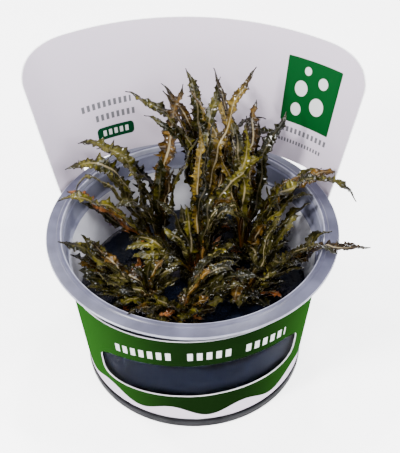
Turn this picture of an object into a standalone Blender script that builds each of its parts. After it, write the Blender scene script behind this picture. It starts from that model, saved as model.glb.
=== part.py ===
"""Young aquarium plants grown in vitro: seven plantlets in dark gel, in a plastic cup with a card sleeve."""

import math

import bmesh
import bpy
import numpy as np
from mathutils import Vector

# Lengths are millimetres and angles are degrees. Meshes are made in metres with MM.
MM = 0.001
COLLECTION_NAME = "in_vitro_plant_cup"

# Cup. Radii are measured from the upright axis and heights from the underside.
CUP_STEPS = 44
FLANGE_RADIUS = 50.0
FLANGE_EDGE_TOP = 58.9
FLANGE_THICK = 0.75
RIM_TOP = 60.0
LIP_RADIUS = 44.6
SHOULDER_RADIUS = 43.9
SHOULDER_TOP = 57.2
LEDGE_TOP = 51.5
WALL_FOOT_RADIUS = 38.6
WALL_FOOT_Z = 4.6
WALL_SLOPE = 0.1
WALL_TOP_Z = 50.7
WALL_THICK = 0.9
FOOT_RADIUS = 39.5
FOOT_HEIGHT = 2.9
FLOOR_THICK = 1.2
FLOOR_CORNER = 0.8
RIM_WIDTH = 2.0
LEDGE_ROUND = 0.3

# Gel.
GEL_TOP = 31.0
MENISCUS = 0.5
GAP = 0.3

# Crowns: each plantlet's place on the gel.
CROWN_PLACES = {
    1: (-3.0, -17.0),
    2: (-17.0, -7.0),
    3: (21.0, -6.0),
    4: (-13.0, 18.0),
    5: (1.0, 5.0),
    6: (20.0, 14.0),
    7: (5.0, 27.0),
}
CROWN_RADIUS = 3.3
CROWN_TOP = 33.3
CROWN_DEPTH = 8.0
CROWN_SIDES = 7

# Sleeve. Its angle runs from the front middle towards the right, and its back card is centred on CARD_MIDDLE.
CARD_THICK = 0.5
SLEEVE_FOOT_RADIUS = 39.2
SLEEVE_FOOT_Z = 4.6
SLEEVE_SLOPE = 0.107
SLEEVE_SEAM = -100.0
SEAM_GAP = 0.4
FRONT_TOP_Z = 50.4
FRONT_TILT = 0.035
FRONT_DROP = 0.0009
FLAT_RADIUS = 45.0
CARD_MIDDLE = 178.0
CARD_HALF_ANGLE = 67.6
CARD_TOP_Z = 110.3
CARD_TOP_TILT = 0.013
CARD_CORNER_ANGLE = 17.0
CARD_CORNER_HEIGHT = 11.0
CARD_BEND_Z = 59.0
CARD_HALF_Z = 85.0
CARD_BEND_RADIUS = 63.0
CARD_BEND_GROWTH = 0.375
CARD_BACK_Y = 45.3
CARD_LEAN = 0.12
CARD_LIFT_Z = 8.0
CARD_FLARE_END = 92.0
CARD_FLARE_START = 58.0
CARD_TURN_LIMIT = 120.0
SLOT_HALF_ANGLE = 53.0
SLOT_BOTTOM_Z = 50.4
SLOT_TOP_Z = 60.4
WINDOW_MIDDLE = 3.5
WINDOW_HALF_ANGLE = 54.0
WINDOW_Z = 28.0
WINDOW_HALF_HEIGHT = 9.2
WINDOW_TILT = 0.055
WINDOW_DROP = 0.0016
WINDOW_SQUARENESS = 4.0
WINDOW_POINTS = 28
SLOT_CORNER_ANGLE = 1.5
SLOT_CORNER_HEIGHT = 1.2
FRONT_END_ANGLE = 60.0
STRIP_ANGLE = 6.0

# Leaves. Each row gives the crown, the heading from the right side turning left, the reach across,
# the rise, the arch above the chord, the shoulder pushed along the chord, the droop of the tip,
# the blade's width, and its colour kind.
LEAF_ROWS = (
    (4, 50, 16, 63, 6, 1, 0, 5.6, "brown"),
    (7, 170, 28, 59, 12, 8, 0, 5.2, "olive"),
    (7, 122, 13, 64, 7, 8, 0, 5.2, "olive"),
    (6, 117, 27, 64, 8, 8, 0, 2.4, "brown"),
    (5, 54, 36, 67, 9, 8, 0, 4.2, "amber"),
    (5, 40, 34, 38, 10, 6, 0, 4.8, "olive"),
    (7, 18, 28, 36, 14, 12, 1, 5.2, "olive"),
    (7, 27, 24, 43, 11, 12, 1, 2.4, "dark"),
    (6, 83, 22, 52, 8, 10, 0, 4.0, "brown"),
    (7, 119, 11, 48, 6, 10, 0, 4.8, "amber"),
    (6, 115, 27, 52, 9, 10, 0, 4.0, "amber"),
    (5, 150, 16, 26, 6, 4, 0, 4.6, "dark"),
    (6, -8, 37, 34, 14, 8, 6, 6.0, "olive"),
    (6, 8, 33, 33, 10, 6, 0, 4.4, "brown"),
    (6, 13, 26, 34, 4, 8, 0, 2.8, "olive"),
    (6, -10, 22, 30, 7, 6, 0, 4.4, "olive"),
    (5, 24, 22, 12, 20, 8, 0, 4.0, "pale"),
    (6, -14, 8, 23, 1, 2, 0, 3.0, "pale"),
    (6, -21, 22, 30, 1, 3, 0, 4.4, "olive"),
    (3, 36, 20, 25, 3, 4, 0, 4.4, "young"),
    (3, -19, 39, 32.6, 4, 4, 0, 4.6, "brown"),
    (3, -24, 18, 18, 4, 3, 0, 4.0, "dark"),
    (3, -24, 29, 29, 7, 8, 0, 4.4, "dark"),
    (1, 25, 21, 14, 8, 4, 0, 5.0, "pale"),
    (1, 7, 25, 15, 5, 4, 0, 5.0, "olive"),
    (6, -75, 19, 8, 5, 1, 0, 4.6, "dark"),
    (3, -52, 15, 8, 2, 1, 0, 3.2, "red"),
    (3, -119, 16, 8, 4, 2, 0, 4.0, "brown"),
    (4, 180, 31, 36, 12, 10, 0, 6.0, "olive"),
    (4, -168, 28, 35, 8, 12, 5, 2.8, "dark"),
    (4, 163, 28, 41, 11, 10, 0, 6.0, "young"),
    (4, 154, 23, 37, 8, 9, 0, 4.8, "dark"),
    (4, -162, 35, 31, 7, 6, 0, 4.6, "olive"),
    (4, -150, 16, 25, 6, 8, 0, 5.0, "dark"),
    (2, -168, 28, 31, 3, 5, 0, 4.6, "olive"),
    (2, 180, 23, 22, 2.5, 6, 0, 3.4, "young"),
    (2, -155, 22, 18, 1, 4, 0, 5.2, "olive"),
    (2, 170, 17, 17, -3, -2, 0, 3.0, "pale"),
    (5, -173, 25, 12, 6, 5, 0, 4.4, "young"),
    (2, 108, 8, 11, 1, 0, 0, 3.4, "red"),
    (1, -117, 17, 15, 2, 1, 0, 3.4, "red"),
    (1, -93, 16, 14, 2, 2, 0, 3.6, "young"),
    (1, -124, 31, 28, 1, 2, 0, 3.4, "dark"),
    (4, -169, 31, 31, 2, 8, 0, 3.6, "red"),
    (2, -117, 17, 11, 1, 0, 0, 4.4, "olive"),
    (5, 123, 13, 12, 2, 2, 0, 4.2, "red"),
    (7, 127, 7, 21, 1, 1, 0, 4.2, "young"),
    (1, -44, 11, 15, 1, 2, 0, 4.0, "brown"),
    (5, -20, 17, 10, 5, 2, 0, 4.6, "dark"),
    (2, 40, 14, 12, 5, 1, 0, 4.6, "dark"),
)
LEAF_BASE_RADIUS = 2.3
LEAF_BASE_Z = 34.3
LEAF_STATIONS = 31
LONG_LEAF = 24.0
LONG_LEAF_STEP = 3
SHORT_LEAF_STEP = 5
PETIOLE_HALF = 0.72
TIP_HALF = 0.16
BLADE_START = 0.08
BLADE_FULL = 0.26
BLADE_TAPER = 0.6
BLADE_END = 0.95
TOOTH = 0.26
FOLD = 0.35
RIPPLE = 0.35
HALF_THICK = 0.36
TURN = 16.0
DROOP_START = 0.8

# Short young leaves, grown together with each crown. TUFT_LEFT_OUT names the crown and the place of
# each blade that would be in the way of a longer leaf or in the open space at the back.
TUFT_BLADES = 5
TUFT_BASE_RADIUS = 1.6
TUFT_BASE_Z = 32.6
TUFT_REACH = 11.5
TUFT_REACH_SPREAD = 3.5
TUFT_RISE = 6.0
TUFT_RISE_SPREAD = 3.5
TUFT_ARCH = 1.2
TUFT_WIDTH = 4.2
TUFT_TURN = 17.0
TUFT_LEFT_OUT = ((1, 2), (2, 2), (4, 0))
TUFT_STEP = 10

# How the leaves are pushed clear of each other and of the cup and card.
RELAX_ROUNDS = 420
REFRESH_ROUNDS = 12
NEAR_DISTANCE = 9.0
STILL_PART = 0.03
FREE_PART = 0.15
RELAX_STEP = 0.9
CLEARANCE = 0.5
GEL_CLEAR = 0.4
CARD_CLEAR = 0.6
CARD_REACH = 1.15

# Colours, as linear RGB.
LEAF_COLOURS = {
    "olive": (0.09, 0.11, 0.018),
    "brown": (0.16, 0.075, 0.015),
    "amber": (0.26, 0.13, 0.02),
    "young": (0.2, 0.21, 0.035),
    "dark": (0.03, 0.038, 0.012),
    "pale": (0.26, 0.24, 0.12),
    "red": (0.3, 0.085, 0.04),
}


def clear_scene():
    for old in list(bpy.data.objects):
        bpy.data.objects.remove(old, do_unlink=True)


def new_collection(name):
    made = bpy.data.collections.new(name)
    bpy.context.scene.collection.children.link(made)
    return made


def material(name, colour, roughness, transmission=0.0):
    made = bpy.data.materials.new(name)
    made.use_nodes = True
    shader = made.node_tree.nodes["Principled BSDF"]
    shader.inputs["Base Color"].default_value = (*colour, 1.0)
    shader.inputs["Roughness"].default_value = roughness
    shader.inputs["Metallic"].default_value = 0.0
    shader.inputs["Transmission Weight"].default_value = transmission
    made.diffuse_color = (*colour, 1.0)
    return made


def mesh_object(name, points, faces, collection):
    """An object from points in millimetres."""
    mesh = bpy.data.meshes.new(name)
    mesh.from_pydata([tuple(MM * float(value) for value in point) for point in points], [], faces)
    mesh.validate()
    made = bpy.data.objects.new(name, mesh)
    collection.objects.link(made)
    return made


def turned(name, profile, steps, collection):
    """A profile of radius and height pairs, swept round the upright axis."""
    mesh = bpy.data.meshes.new(name)
    points = [(MM * radius, 0.0, MM * height) for radius, height in profile]
    edges = [(i, i + 1) for i in range(len(points) - 1)]
    mesh.from_pydata(points, edges, [])
    made = bpy.data.objects.new(name, mesh)
    collection.objects.link(made)
    screw = made.modifiers.new("turn", "SCREW")
    screw.axis = "Z"
    screw.angle = 2.0 * math.pi
    screw.steps = steps
    screw.render_steps = steps
    screw.use_merge_vertices = True
    screw.merge_threshold = 0.00001
    return made


def applied(source, name, collection):
    """A plain mesh object with the source's modifiers applied; the source is removed."""
    graph = bpy.context.evaluated_depsgraph_get()
    mesh = bpy.data.meshes.new_from_object(source.evaluated_get(graph))
    matrix = source.matrix_world.copy()
    bpy.data.objects.remove(source, do_unlink=True)
    mesh.name = name
    made = bpy.data.objects.new(name, mesh)
    made.matrix_world = matrix
    collection.objects.link(made)
    return made


def smooth(made, angle=35.0):
    made.data.shade_smooth()
    made.data.set_sharp_from_angle(angle=math.radians(angle))


def wall_radius(height):
    """The cup's outer radius on its tapered wall."""
    return WALL_FOOT_RADIUS + WALL_SLOPE * (height - WALL_FOOT_Z)


def inner_radius(height):
    """The cup's inner radius, on the tapered wall and above its ledge."""
    tapered = wall_radius(height) - WALL_THICK
    return np.where(np.asarray(height) < LEDGE_TOP, tapered, SHOULDER_RADIUS - 0.1)


def cup_profile():
    """Up the inside from the middle of the floor, over the rim, and down the outside to the middle."""
    inside = [
        (0.0, FLOOR_THICK),
        (wall_radius(FLOOR_THICK) - WALL_THICK - 1.4 * FLOOR_CORNER, FLOOR_THICK),
        (wall_radius(FLOOR_THICK + FLOOR_CORNER) - WALL_THICK, FLOOR_THICK + FLOOR_CORNER),
        (wall_radius(WALL_TOP_Z) - WALL_THICK, WALL_TOP_Z - 0.2),
        (SHOULDER_RADIUS - 4.0 * LEDGE_ROUND, WALL_TOP_Z + LEDGE_ROUND),
        (SHOULDER_RADIUS - LEDGE_ROUND, LEDGE_TOP),
        (SHOULDER_RADIUS, SHOULDER_TOP),
        (LIP_RADIUS - 0.1, SHOULDER_TOP + 0.5),
        (LIP_RADIUS, RIM_TOP - 0.4),
    ]
    rim = [
        (LIP_RADIUS + 0.3, RIM_TOP),
        (LIP_RADIUS + RIM_WIDTH - 0.7, RIM_TOP),
        (LIP_RADIUS + RIM_WIDTH - 0.3, RIM_TOP - 0.3),
        (FLANGE_RADIUS, FLANGE_EDGE_TOP),
        (FLANGE_RADIUS, FLANGE_EDGE_TOP - FLANGE_THICK),
        (LIP_RADIUS + RIM_WIDTH - 0.5, RIM_TOP - 0.35 - FLANGE_THICK),
    ]
    outside = [
        (LIP_RADIUS + 0.8, SHOULDER_TOP + LEDGE_ROUND),
        (SHOULDER_RADIUS + WALL_THICK, SHOULDER_TOP - LEDGE_ROUND),
        (SHOULDER_RADIUS + WALL_THICK - 0.1, LEDGE_TOP + LEDGE_ROUND),
        (SHOULDER_RADIUS + LEDGE_ROUND, LEDGE_TOP - 0.4),
        (wall_radius(WALL_TOP_Z), WALL_TOP_Z - 0.1),
        (WALL_FOOT_RADIUS, WALL_FOOT_Z),
        (WALL_FOOT_RADIUS - 0.1, FOOT_HEIGHT + 0.5),
        (FOOT_RADIUS - 0.3, FOOT_HEIGHT),
        (FOOT_RADIUS, FOOT_HEIGHT - 0.5),
        (FOOT_RADIUS, 0.6),
        (FOOT_RADIUS - 0.6, 0.0),
        (0.0, 0.0),
    ]
    return inside + rim + outside


def make_cup(collection):
    cup = turned("cup", cup_profile(), CUP_STEPS, collection)
    cup.data.materials.append(material("cup_plastic", (0.62, 0.64, 0.72), 0.3, 0.6))
    return cup


def crown_profile(grow=0.0):
    """A short thick rhizome: a flat topped knob above the gel and a tapered root end in it."""
    return [
        (0.0, CROWN_TOP + grow),
        (CROWN_RADIUS - 0.7 + grow, CROWN_TOP - 0.2 + grow),
        (CROWN_RADIUS + grow, CROWN_TOP - 1.0),
        (CROWN_RADIUS - 0.4 + grow, GEL_TOP - 1.0),
        (CROWN_RADIUS - 1.6 + grow, GEL_TOP - CROWN_DEPTH + 1.5),
        (0.0, GEL_TOP - CROWN_DEPTH - grow),
    ]


def make_crowns(collection, cutters):
    """The crowns, and for each a slightly larger cutter for its socket in the gel."""
    sockets = []
    for number, (x, y) in CROWN_PLACES.items():
        place = Vector((MM * x, MM * y, 0.0))
        crown = turned(f"crown_{number}", crown_profile(), CROWN_SIDES, collection)
        crown.location = place
        crown.data.materials.append(material(f"crown_skin_{number}", (0.12, 0.06, 0.03), 0.5))
        socket = turned(f"socket_{number}", crown_profile(GAP), CROWN_SIDES, cutters)
        socket.location = place
        socket.hide_render = True
        socket.display_type = "WIRE"
        sockets.append(socket)
    return sockets


def make_gel(collection, sockets):
    top = wall_radius(GEL_TOP + MENISCUS) - WALL_THICK - GAP
    foot_z = FLOOR_THICK + GAP
    foot = wall_radius(FLOOR_THICK + FLOOR_CORNER) - WALL_THICK - GAP
    profile = [
        (0.0, GEL_TOP),
        (top - 1.6, GEL_TOP),
        (top, GEL_TOP + MENISCUS),
        (foot + 0.05, foot_z + 1.0),
        (foot - 1.2, foot_z),
        (0.0, foot_z),
    ]
    gel = turned("gel", profile, CUP_STEPS, collection)
    for socket in sockets:
        cut = gel.modifiers.new(socket.name, "BOOLEAN")
        cut.operation = "DIFFERENCE"
        cut.solver = "EXACT"
        cut.object = socket
    gel.data.materials.append(material("gel", (0.006, 0.008, 0.013), 0.12))
    return gel


def smoothstep(value):
    value = np.clip(value, 0.0, 1.0)
    return value * value * (3.0 - 2.0 * value)


def cone_radius(height):
    """The middle of the card's thickness where the sleeve hugs the cup."""
    return SLEEVE_FOOT_RADIUS + SLEEVE_SLOPE * (height - SLEEVE_FOOT_Z)


def back_radius(turn, height):
    """Distance from the cup's axis to the back card's gentle arc, turn degrees from the card's middle."""
    bend = CARD_BEND_RADIUS + CARD_BEND_GROWTH * (height - CARD_BEND_Z)
    centre = CARD_BACK_Y + CARD_LEAN * (height - CARD_BEND_Z) - bend
    angle = np.radians(turn)
    return centre * np.cos(angle) + np.sqrt(bend**2 - (centre * np.sin(angle)) ** 2)


def sleeve_radius(angle, height):
    """The card's middle radius at an angle from the front middle and a height."""
    turn = np.minimum(np.abs(np.asarray(angle, float) - CARD_MIDDLE), CARD_TURN_LIMIT)
    height = np.asarray(height, float)
    fade = 1.0 - smoothstep((turn - CARD_FLARE_START) / (CARD_FLARE_END - CARD_FLARE_START))
    lift = (back_radius(turn, CARD_BEND_Z) - cone_radius(CARD_BEND_Z)) * fade
    rise = np.clip((height - CARD_LIFT_Z) / (CARD_BEND_Z - CARD_LIFT_Z), 0.0, 1.0)
    low = cone_radius(np.minimum(height, CARD_BEND_Z)) + lift * rise
    high = back_radius(turn, np.maximum(height, CARD_BEND_Z)) - back_radius(turn, CARD_BEND_Z)
    return low + high


def front_top(angle):
    """The height of the sleeve's cut edge in front, which sits a little lower at the left."""
    near = np.clip(angle, -FRONT_END_ANGLE, FRONT_END_ANGLE)
    return FRONT_TOP_Z + FRONT_TILT * near - FRONT_DROP * near**2


def sleeve_outline():
    """The whole sleeve laid flat, as angle and height pairs, anticlockwise from the seam's foot."""
    left_edge = CARD_MIDDLE + CARD_HALF_ANGLE
    right_edge = CARD_MIDDLE - CARD_HALF_ANGLE
    half_gap = 0.5 * math.degrees(SEAM_GAP / SLEEVE_FOOT_RADIUS)
    start = SLEEVE_SEAM + half_gap
    end = 360.0 + SLEEVE_SEAM - half_gap
    left_top = float(front_top(-FRONT_END_ANGLE))
    right_top = float(front_top(FRONT_END_ANGLE))
    side_z = CARD_TOP_Z - CARD_CORNER_HEIGHT
    outline = [(start, SLEEVE_FOOT_Z), (end, SLEEVE_FOOT_Z), (end, left_top)]
    # The left edge of the card curves up out of the sleeve's low top edge.
    outline += [(left_edge + 6.0, left_top + 0.6), (left_edge + 1.5, 52.0), (left_edge, 56.0)]
    quarter = [math.radians(15.0 * step) for step in range(7)]
    tilt = CARD_TOP_TILT * (CARD_HALF_ANGLE - CARD_CORNER_ANGLE)
    for angle in quarter:
        inset = CARD_CORNER_ANGLE * (1.0 - math.cos(angle))
        outline.append((left_edge - inset, side_z + tilt + CARD_CORNER_HEIGHT * math.sin(angle)))
    for angle in reversed(quarter):
        inset = CARD_CORNER_ANGLE * (1.0 - math.cos(angle))
        outline.append((right_edge + inset, side_z - tilt + CARD_CORNER_HEIGHT * math.sin(angle)))
    outline += [(right_edge, 56.0), (right_edge - 1.5, 52.6), (right_edge - 6.0, right_top + 0.3)]
    for angle in range(84, int(start), -12):
        outline.append((float(angle), float(front_top(angle))))
    outline.append((start, left_top))
    return outline


def slot_outline():
    """The long slot that the flange passes through behind, with small corner radii."""
    left = CARD_MIDDLE - SLOT_HALF_ANGLE
    right = CARD_MIDDLE + SLOT_HALF_ANGLE
    return [
        (left, SLOT_BOTTOM_Z + SLOT_CORNER_HEIGHT),
        (left + SLOT_CORNER_ANGLE, SLOT_BOTTOM_Z),
        (right - SLOT_CORNER_ANGLE, SLOT_BOTTOM_Z),
        (right, SLOT_BOTTOM_Z + SLOT_CORNER_HEIGHT),
        (right, SLOT_TOP_Z - SLOT_CORNER_HEIGHT),
        (right - SLOT_CORNER_ANGLE, SLOT_TOP_Z),
        (left + SLOT_CORNER_ANGLE, SLOT_TOP_Z),
        (left, SLOT_TOP_Z - SLOT_CORNER_HEIGHT),
    ]


def window_outline():
    """The bow shaped window in front: a squared oval that drops at its ends."""
    outline = []
    power = 2.0 / WINDOW_SQUARENESS
    for step in range(WINDOW_POINTS):
        angle = 2.0 * math.pi * step / WINDOW_POINTS
        across = math.copysign(abs(math.cos(angle)) ** power, math.cos(angle))
        upright = math.copysign(abs(math.sin(angle)) ** power, math.sin(angle))
        place = WINDOW_MIDDLE + WINDOW_HALF_ANGLE * across
        bow = WINDOW_TILT * place - WINDOW_DROP * place**2
        outline.append((place, WINDOW_Z + bow + WINDOW_HALF_HEIGHT * upright))
    return outline


def flat_card(collection):
    """The cut card lying flat: x is angle on FLAT_RADIUS, y is height, z is thickness."""
    curve = bpy.data.curves.new("flat_card", "CURVE")
    curve.dimensions = "2D"
    curve.fill_mode = "BOTH"
    curve.extrude = MM * CARD_THICK / 2.0
    for outline in (sleeve_outline(), slot_outline(), window_outline()):
        spline = curve.splines.new("POLY")
        spline.points.add(len(outline) - 1)
        spline.use_cyclic_u = True
        for point, (angle, height) in zip(spline.points, outline):
            point.co = (MM * math.radians(angle) * FLAT_RADIUS, MM * height, 0.0, 1.0)
    flat = bpy.data.objects.new("flat_card", curve)
    collection.objects.link(flat)
    bpy.context.view_layer.update()
    return applied(flat, "sleeve", collection)


def cut_into_strips(mesh_data):
    """Weld the card's caps, drop needless edges, and cut it into strips that can bend."""
    work = bmesh.new()
    work.from_mesh(mesh_data)
    bmesh.ops.remove_doubles(work, verts=work.verts, dist=0.000001)
    bmesh.ops.dissolve_limit(
        work, angle_limit=math.radians(1.0), verts=work.verts, edges=work.edges
    )
    first = SLEEVE_SEAM + STRIP_ANGLE
    count = int(round(360.0 / STRIP_ANGLE)) - 1
    places = [MM * math.radians(first + STRIP_ANGLE * i) * FLAT_RADIUS for i in range(count)]
    cuts = [((place, 0, 0), (1, 0, 0)) for place in places]
    cuts += [((0, MM * height, 0), (0, 1, 0)) for height in (CARD_LIFT_Z, CARD_BEND_Z, CARD_HALF_Z)]
    for place, normal in cuts:
        everything = work.verts[:] + work.edges[:] + work.faces[:]
        bmesh.ops.bisect_plane(work, geom=everything, dist=0.0000005, plane_co=place, plane_no=normal)
    work.to_mesh(mesh_data)
    work.free()


def make_sleeve(collection):
    sleeve = flat_card(collection)
    cut_into_strips(sleeve.data)
    for vertex in sleeve.data.vertices:
        flat = vertex.co / MM
        angle = math.degrees(flat.x / FLAT_RADIUS)
        radius = float(sleeve_radius(angle, flat.y)) + flat.z
        turn = math.radians(angle)
        vertex.co = MM * Vector((radius * math.sin(turn), -radius * math.cos(turn), flat.y))
    work = bmesh.new()
    work.from_mesh(sleeve.data)
    bmesh.ops.triangulate(work, faces=work.faces)
    bmesh.ops.recalc_face_normals(work, faces=work.faces)
    work.to_mesh(sleeve.data)
    work.free()
    sleeve.data.materials.append(material("card", (0.08, 0.25, 0.06), 0.4))
    return sleeve


def unit(vectors):
    return vectors / np.maximum(np.linalg.norm(vectors, axis=-1, keepdims=True), 1e-9)


def base_angles():
    """Where each leaf leaves its crown: evenly spaced round it, in the order of the headings."""
    angles = np.zeros(len(LEAF_ROWS))
    for number in CROWN_PLACES:
        own = [i for i, row in enumerate(LEAF_ROWS) if row[0] == number]
        own.sort(key=lambda i: LEAF_ROWS[i][1] % 360)
        spread = [360.0 * k / len(own) for k in range(len(own))]
        shift = np.mean([LEAF_ROWS[i][1] % 360 - turn for i, turn in zip(own, spread)])
        for i, turn in zip(own, spread):
            angles[i] = shift + turn
    return angles


def tuft_rows():
    """The short leaves' rows, in the long leaves' form, with the number of each blade's crown and place."""
    rows = []
    names = []
    for number in CROWN_PLACES:
        for k in range(TUFT_BLADES):
            if (number, k) in TUFT_LEFT_OUT:
                continue
            heading = 360.0 * k / TUFT_BLADES + TUFT_TURN * number
            reach = TUFT_REACH + TUFT_REACH_SPREAD * math.sin(2.1 * k + 1.3 * number)
            rise = TUFT_RISE + TUFT_RISE_SPREAD * math.cos(1.7 * k + 2.3 * number)
            rows.append((number, heading, reach, rise, TUFT_ARCH, 0.0, 0.0, TUFT_WIDTH, "dark"))
            names.append((number, k))
    return rows, names


def leaf_path(row, base_angle, base_radius=LEAF_BASE_RADIUS, base_z=LEAF_BASE_Z):
    """The leaf's midrib before its neighbours push it: one bowed curve from crown to tip."""
    crown, heading, reach, rise, arch, shoulder, droop = row[:7]
    middle = np.array([*CROWN_PLACES[crown], base_z])
    out = np.radians(base_angle)
    base = middle + base_radius * np.array([math.cos(out), math.sin(out), 0.0])
    aim = math.radians(heading)
    tip = middle + np.array([reach * math.cos(aim), reach * math.sin(aim), rise])
    chord = tip - base
    along = unit(chord)
    side = unit(np.array([-chord[1], chord[0], 0.0]))
    above = np.cross(along, side)
    control = (base + tip) / 2.0 + 2.0 * arch * above + 2.0 * shoulder * along
    t = np.linspace(0.0, 1.0, LEAF_STATIONS)[:, None]
    path = (1 - t) ** 2 * base + 2 * t * (1 - t) * control + t**2 * tip
    path[:, 2] -= droop * np.clip((t[:, 0] - DROOP_START) / (1.0 - DROOP_START), 0.0, 1.0) ** 2
    return path


def half_widths(width):
    """Half the leaf's width along it: a thin stalk, a long blade, and a drawn out tip."""
    s = np.linspace(0.0, 1.0, LEAF_STATIONS)
    stalk = PETIOLE_HALF + (TIP_HALF - PETIOLE_HALF) * s
    swell = smoothstep((s - BLADE_START) / (BLADE_FULL - BLADE_START))
    taper = 1.0 - np.clip((s - BLADE_TAPER) / (BLADE_END - BLADE_TAPER), 0.0, 1.0) ** 1.5
    return np.maximum(stalk, 0.5 * width * swell * taper)


def leaf_frames(paths, turns):
    """Unit vectors across each leaf and out of its face, turned about the midrib."""
    tangents = unit(np.gradient(paths, axis=1))
    chords = paths[:, -1] - paths[:, 0]
    level = np.stack([-chords[:, 1], chords[:, 0], np.zeros(len(chords))], axis=-1)
    level = unit(level)[:, None, :]
    across = unit(level - (level * tangents).sum(-1, keepdims=True) * tangents)
    out = np.cross(tangents, across)
    s = np.linspace(0.0, 1.0, paths.shape[1])[None, :, None]
    roll = np.radians(turns)[:, None, None] * s
    return across * np.cos(roll) + out * np.sin(roll), out * np.cos(roll) - across * np.sin(roll)


def support(across, out, wide, high, direction):
    """How far a leaf's section reaches from its midrib in a direction."""
    one = wide * (across * direction).sum(-1)
    two = high * (out * direction).sum(-1)
    return np.sqrt(one**2 + two**2)


def push_from_walls(points, reach_level, reach_up):
    """Moves that keep the leaves inside the cup, over its rim, above the gel and in front of the card."""
    move = np.zeros_like(points)
    radius = np.linalg.norm(points[:, :2], axis=1)
    outward = unit(points[:, :2])
    low = GEL_TOP + MENISCUS + GEL_CLEAR + reach_up
    move[:, 2] += np.maximum(low - points[:, 2], 0.0)
    over = RIM_TOP + CLEARANCE + reach_up - points[:, 2]
    inside = radius - (inner_radius(points[:, 2]) - CLEARANCE - reach_level)
    hit = (over > 0.0) & (inside > 0.0)
    lift = hit & ((over < inside) | (radius > LIP_RADIUS))
    move[lift, 2] += over[lift]
    pull = hit & ~lift
    move[pull, :2] -= outward[pull] * inside[pull][:, None]
    angle = np.degrees(np.arctan2(points[:, 0], -points[:, 1])) % 360.0
    card = sleeve_radius(angle, points[:, 2]) - CARD_THICK - CARD_CLEAR - CARD_REACH * reach_level
    near = (np.abs(angle - CARD_MIDDLE) < CARD_HALF_ANGLE + 3.0) & (points[:, 2] > RIM_TOP)
    excess = np.where(near, np.maximum(radius - card, 0.0), 0.0)
    move[:, :2] -= outward * excess[:, None]
    return move


def relax(paths, wide, high, turns, still=0):
    """Push leaves that would cross through each other, the cup or the card gently apart.

    The first leaves, as many as still says, stay where they are.
    """
    count, stations = paths.shape[:2]
    owner = np.repeat(np.arange(count), stations)
    apart_owners = (owner[:, None] < owner[None, :]) & (owner[None, :] >= still)
    s = np.tile(np.linspace(0.0, 1.0, stations), count)
    free = (smoothstep((s - STILL_PART) / FREE_PART) * (owner >= still))[:, None]
    wide = wide.reshape(-1)
    high = high.reshape(-1)
    for turn_number in range(RELAX_ROUNDS):
        points = paths.reshape(-1, 3)
        if turn_number % REFRESH_ROUNDS == 0:
            squares = (points**2).sum(-1)
            gaps = squares[:, None] + squares[None, :] - 2.0 * points @ points.T
            first, second = np.nonzero((gaps < NEAR_DISTANCE**2) & apart_owners)
        across, out = leaf_frames(paths, turns)
        across = across.reshape(-1, 3)
        out = out.reshape(-1, 3)
        apart = points[first] - points[second]
        distance = np.linalg.norm(apart, axis=-1)
        direction = apart / np.maximum(distance, 1e-6)[:, None]
        need = support(across[first], out[first], wide[first], high[first], direction)
        need += support(across[second], out[second], wide[second], high[second], direction)
        push = np.maximum(need + CLEARANCE - distance, 0.0)
        active = push > 0.0
        shift = direction[active] * (0.5 * push[active])[:, None]
        move = np.zeros_like(points)
        hits = np.zeros(len(points))
        np.add.at(move, first[active], shift)
        np.add.at(move, second[active], -shift)
        np.add.at(hits, first[active], 1.0)
        np.add.at(hits, second[active], 1.0)
        move /= np.sqrt(np.maximum(hits, 1.0))[:, None]
        level = unit(points * np.array([1.0, 1.0, 0.0]))
        up = np.broadcast_to(np.array([0.0, 0.0, 1.0]), points.shape)
        reach_level = support(across, out, wide, high, level)
        reach_up = support(across, out, wide, high, up)
        move += push_from_walls(points, reach_level, reach_up)
        move *= free
        field = move.reshape(count, stations, 3)
        for _ in range(2):
            padded = np.concatenate([field[:, :1], field, field[:, -1:]], axis=1)
            field = 0.25 * padded[:, :-2] + 0.5 * padded[:, 1:-1] + 0.25 * padded[:, 2:]
        paths = paths + RELAX_STEP * field * free.reshape(count, stations, 1)
    return paths


def leaf_layout():
    """Every leaf's midrib path and half widths, pushed apart. The short leaves come last and give way."""
    angles = base_angles()
    short_rows, _ = tuft_rows()
    long_paths = np.array([leaf_path(row, angle) for row, angle in zip(LEAF_ROWS, angles)])
    short_paths = [leaf_path(row, row[1], TUFT_BASE_RADIUS, TUFT_BASE_Z) for row in short_rows]
    halves = np.array([half_widths(row[7]) for row in (*LEAF_ROWS, *short_rows)])
    turns = np.array([TURN * math.sin(2.4 * i + 0.7) for i in range(len(halves))])
    wide = (1.0 + TOOTH) * halves + 0.05
    high = FOLD * halves + 0.5 * HALF_THICK + np.where(halves > 1.0, RIPPLE, 0.0) + 0.1
    count = len(LEAF_ROWS)
    long_paths = relax(long_paths, wide[:count], high[:count], turns[:count])
    paths = relax(np.concatenate([long_paths, short_paths]), wide, high, turns, count)
    return paths, halves, turns


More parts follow.
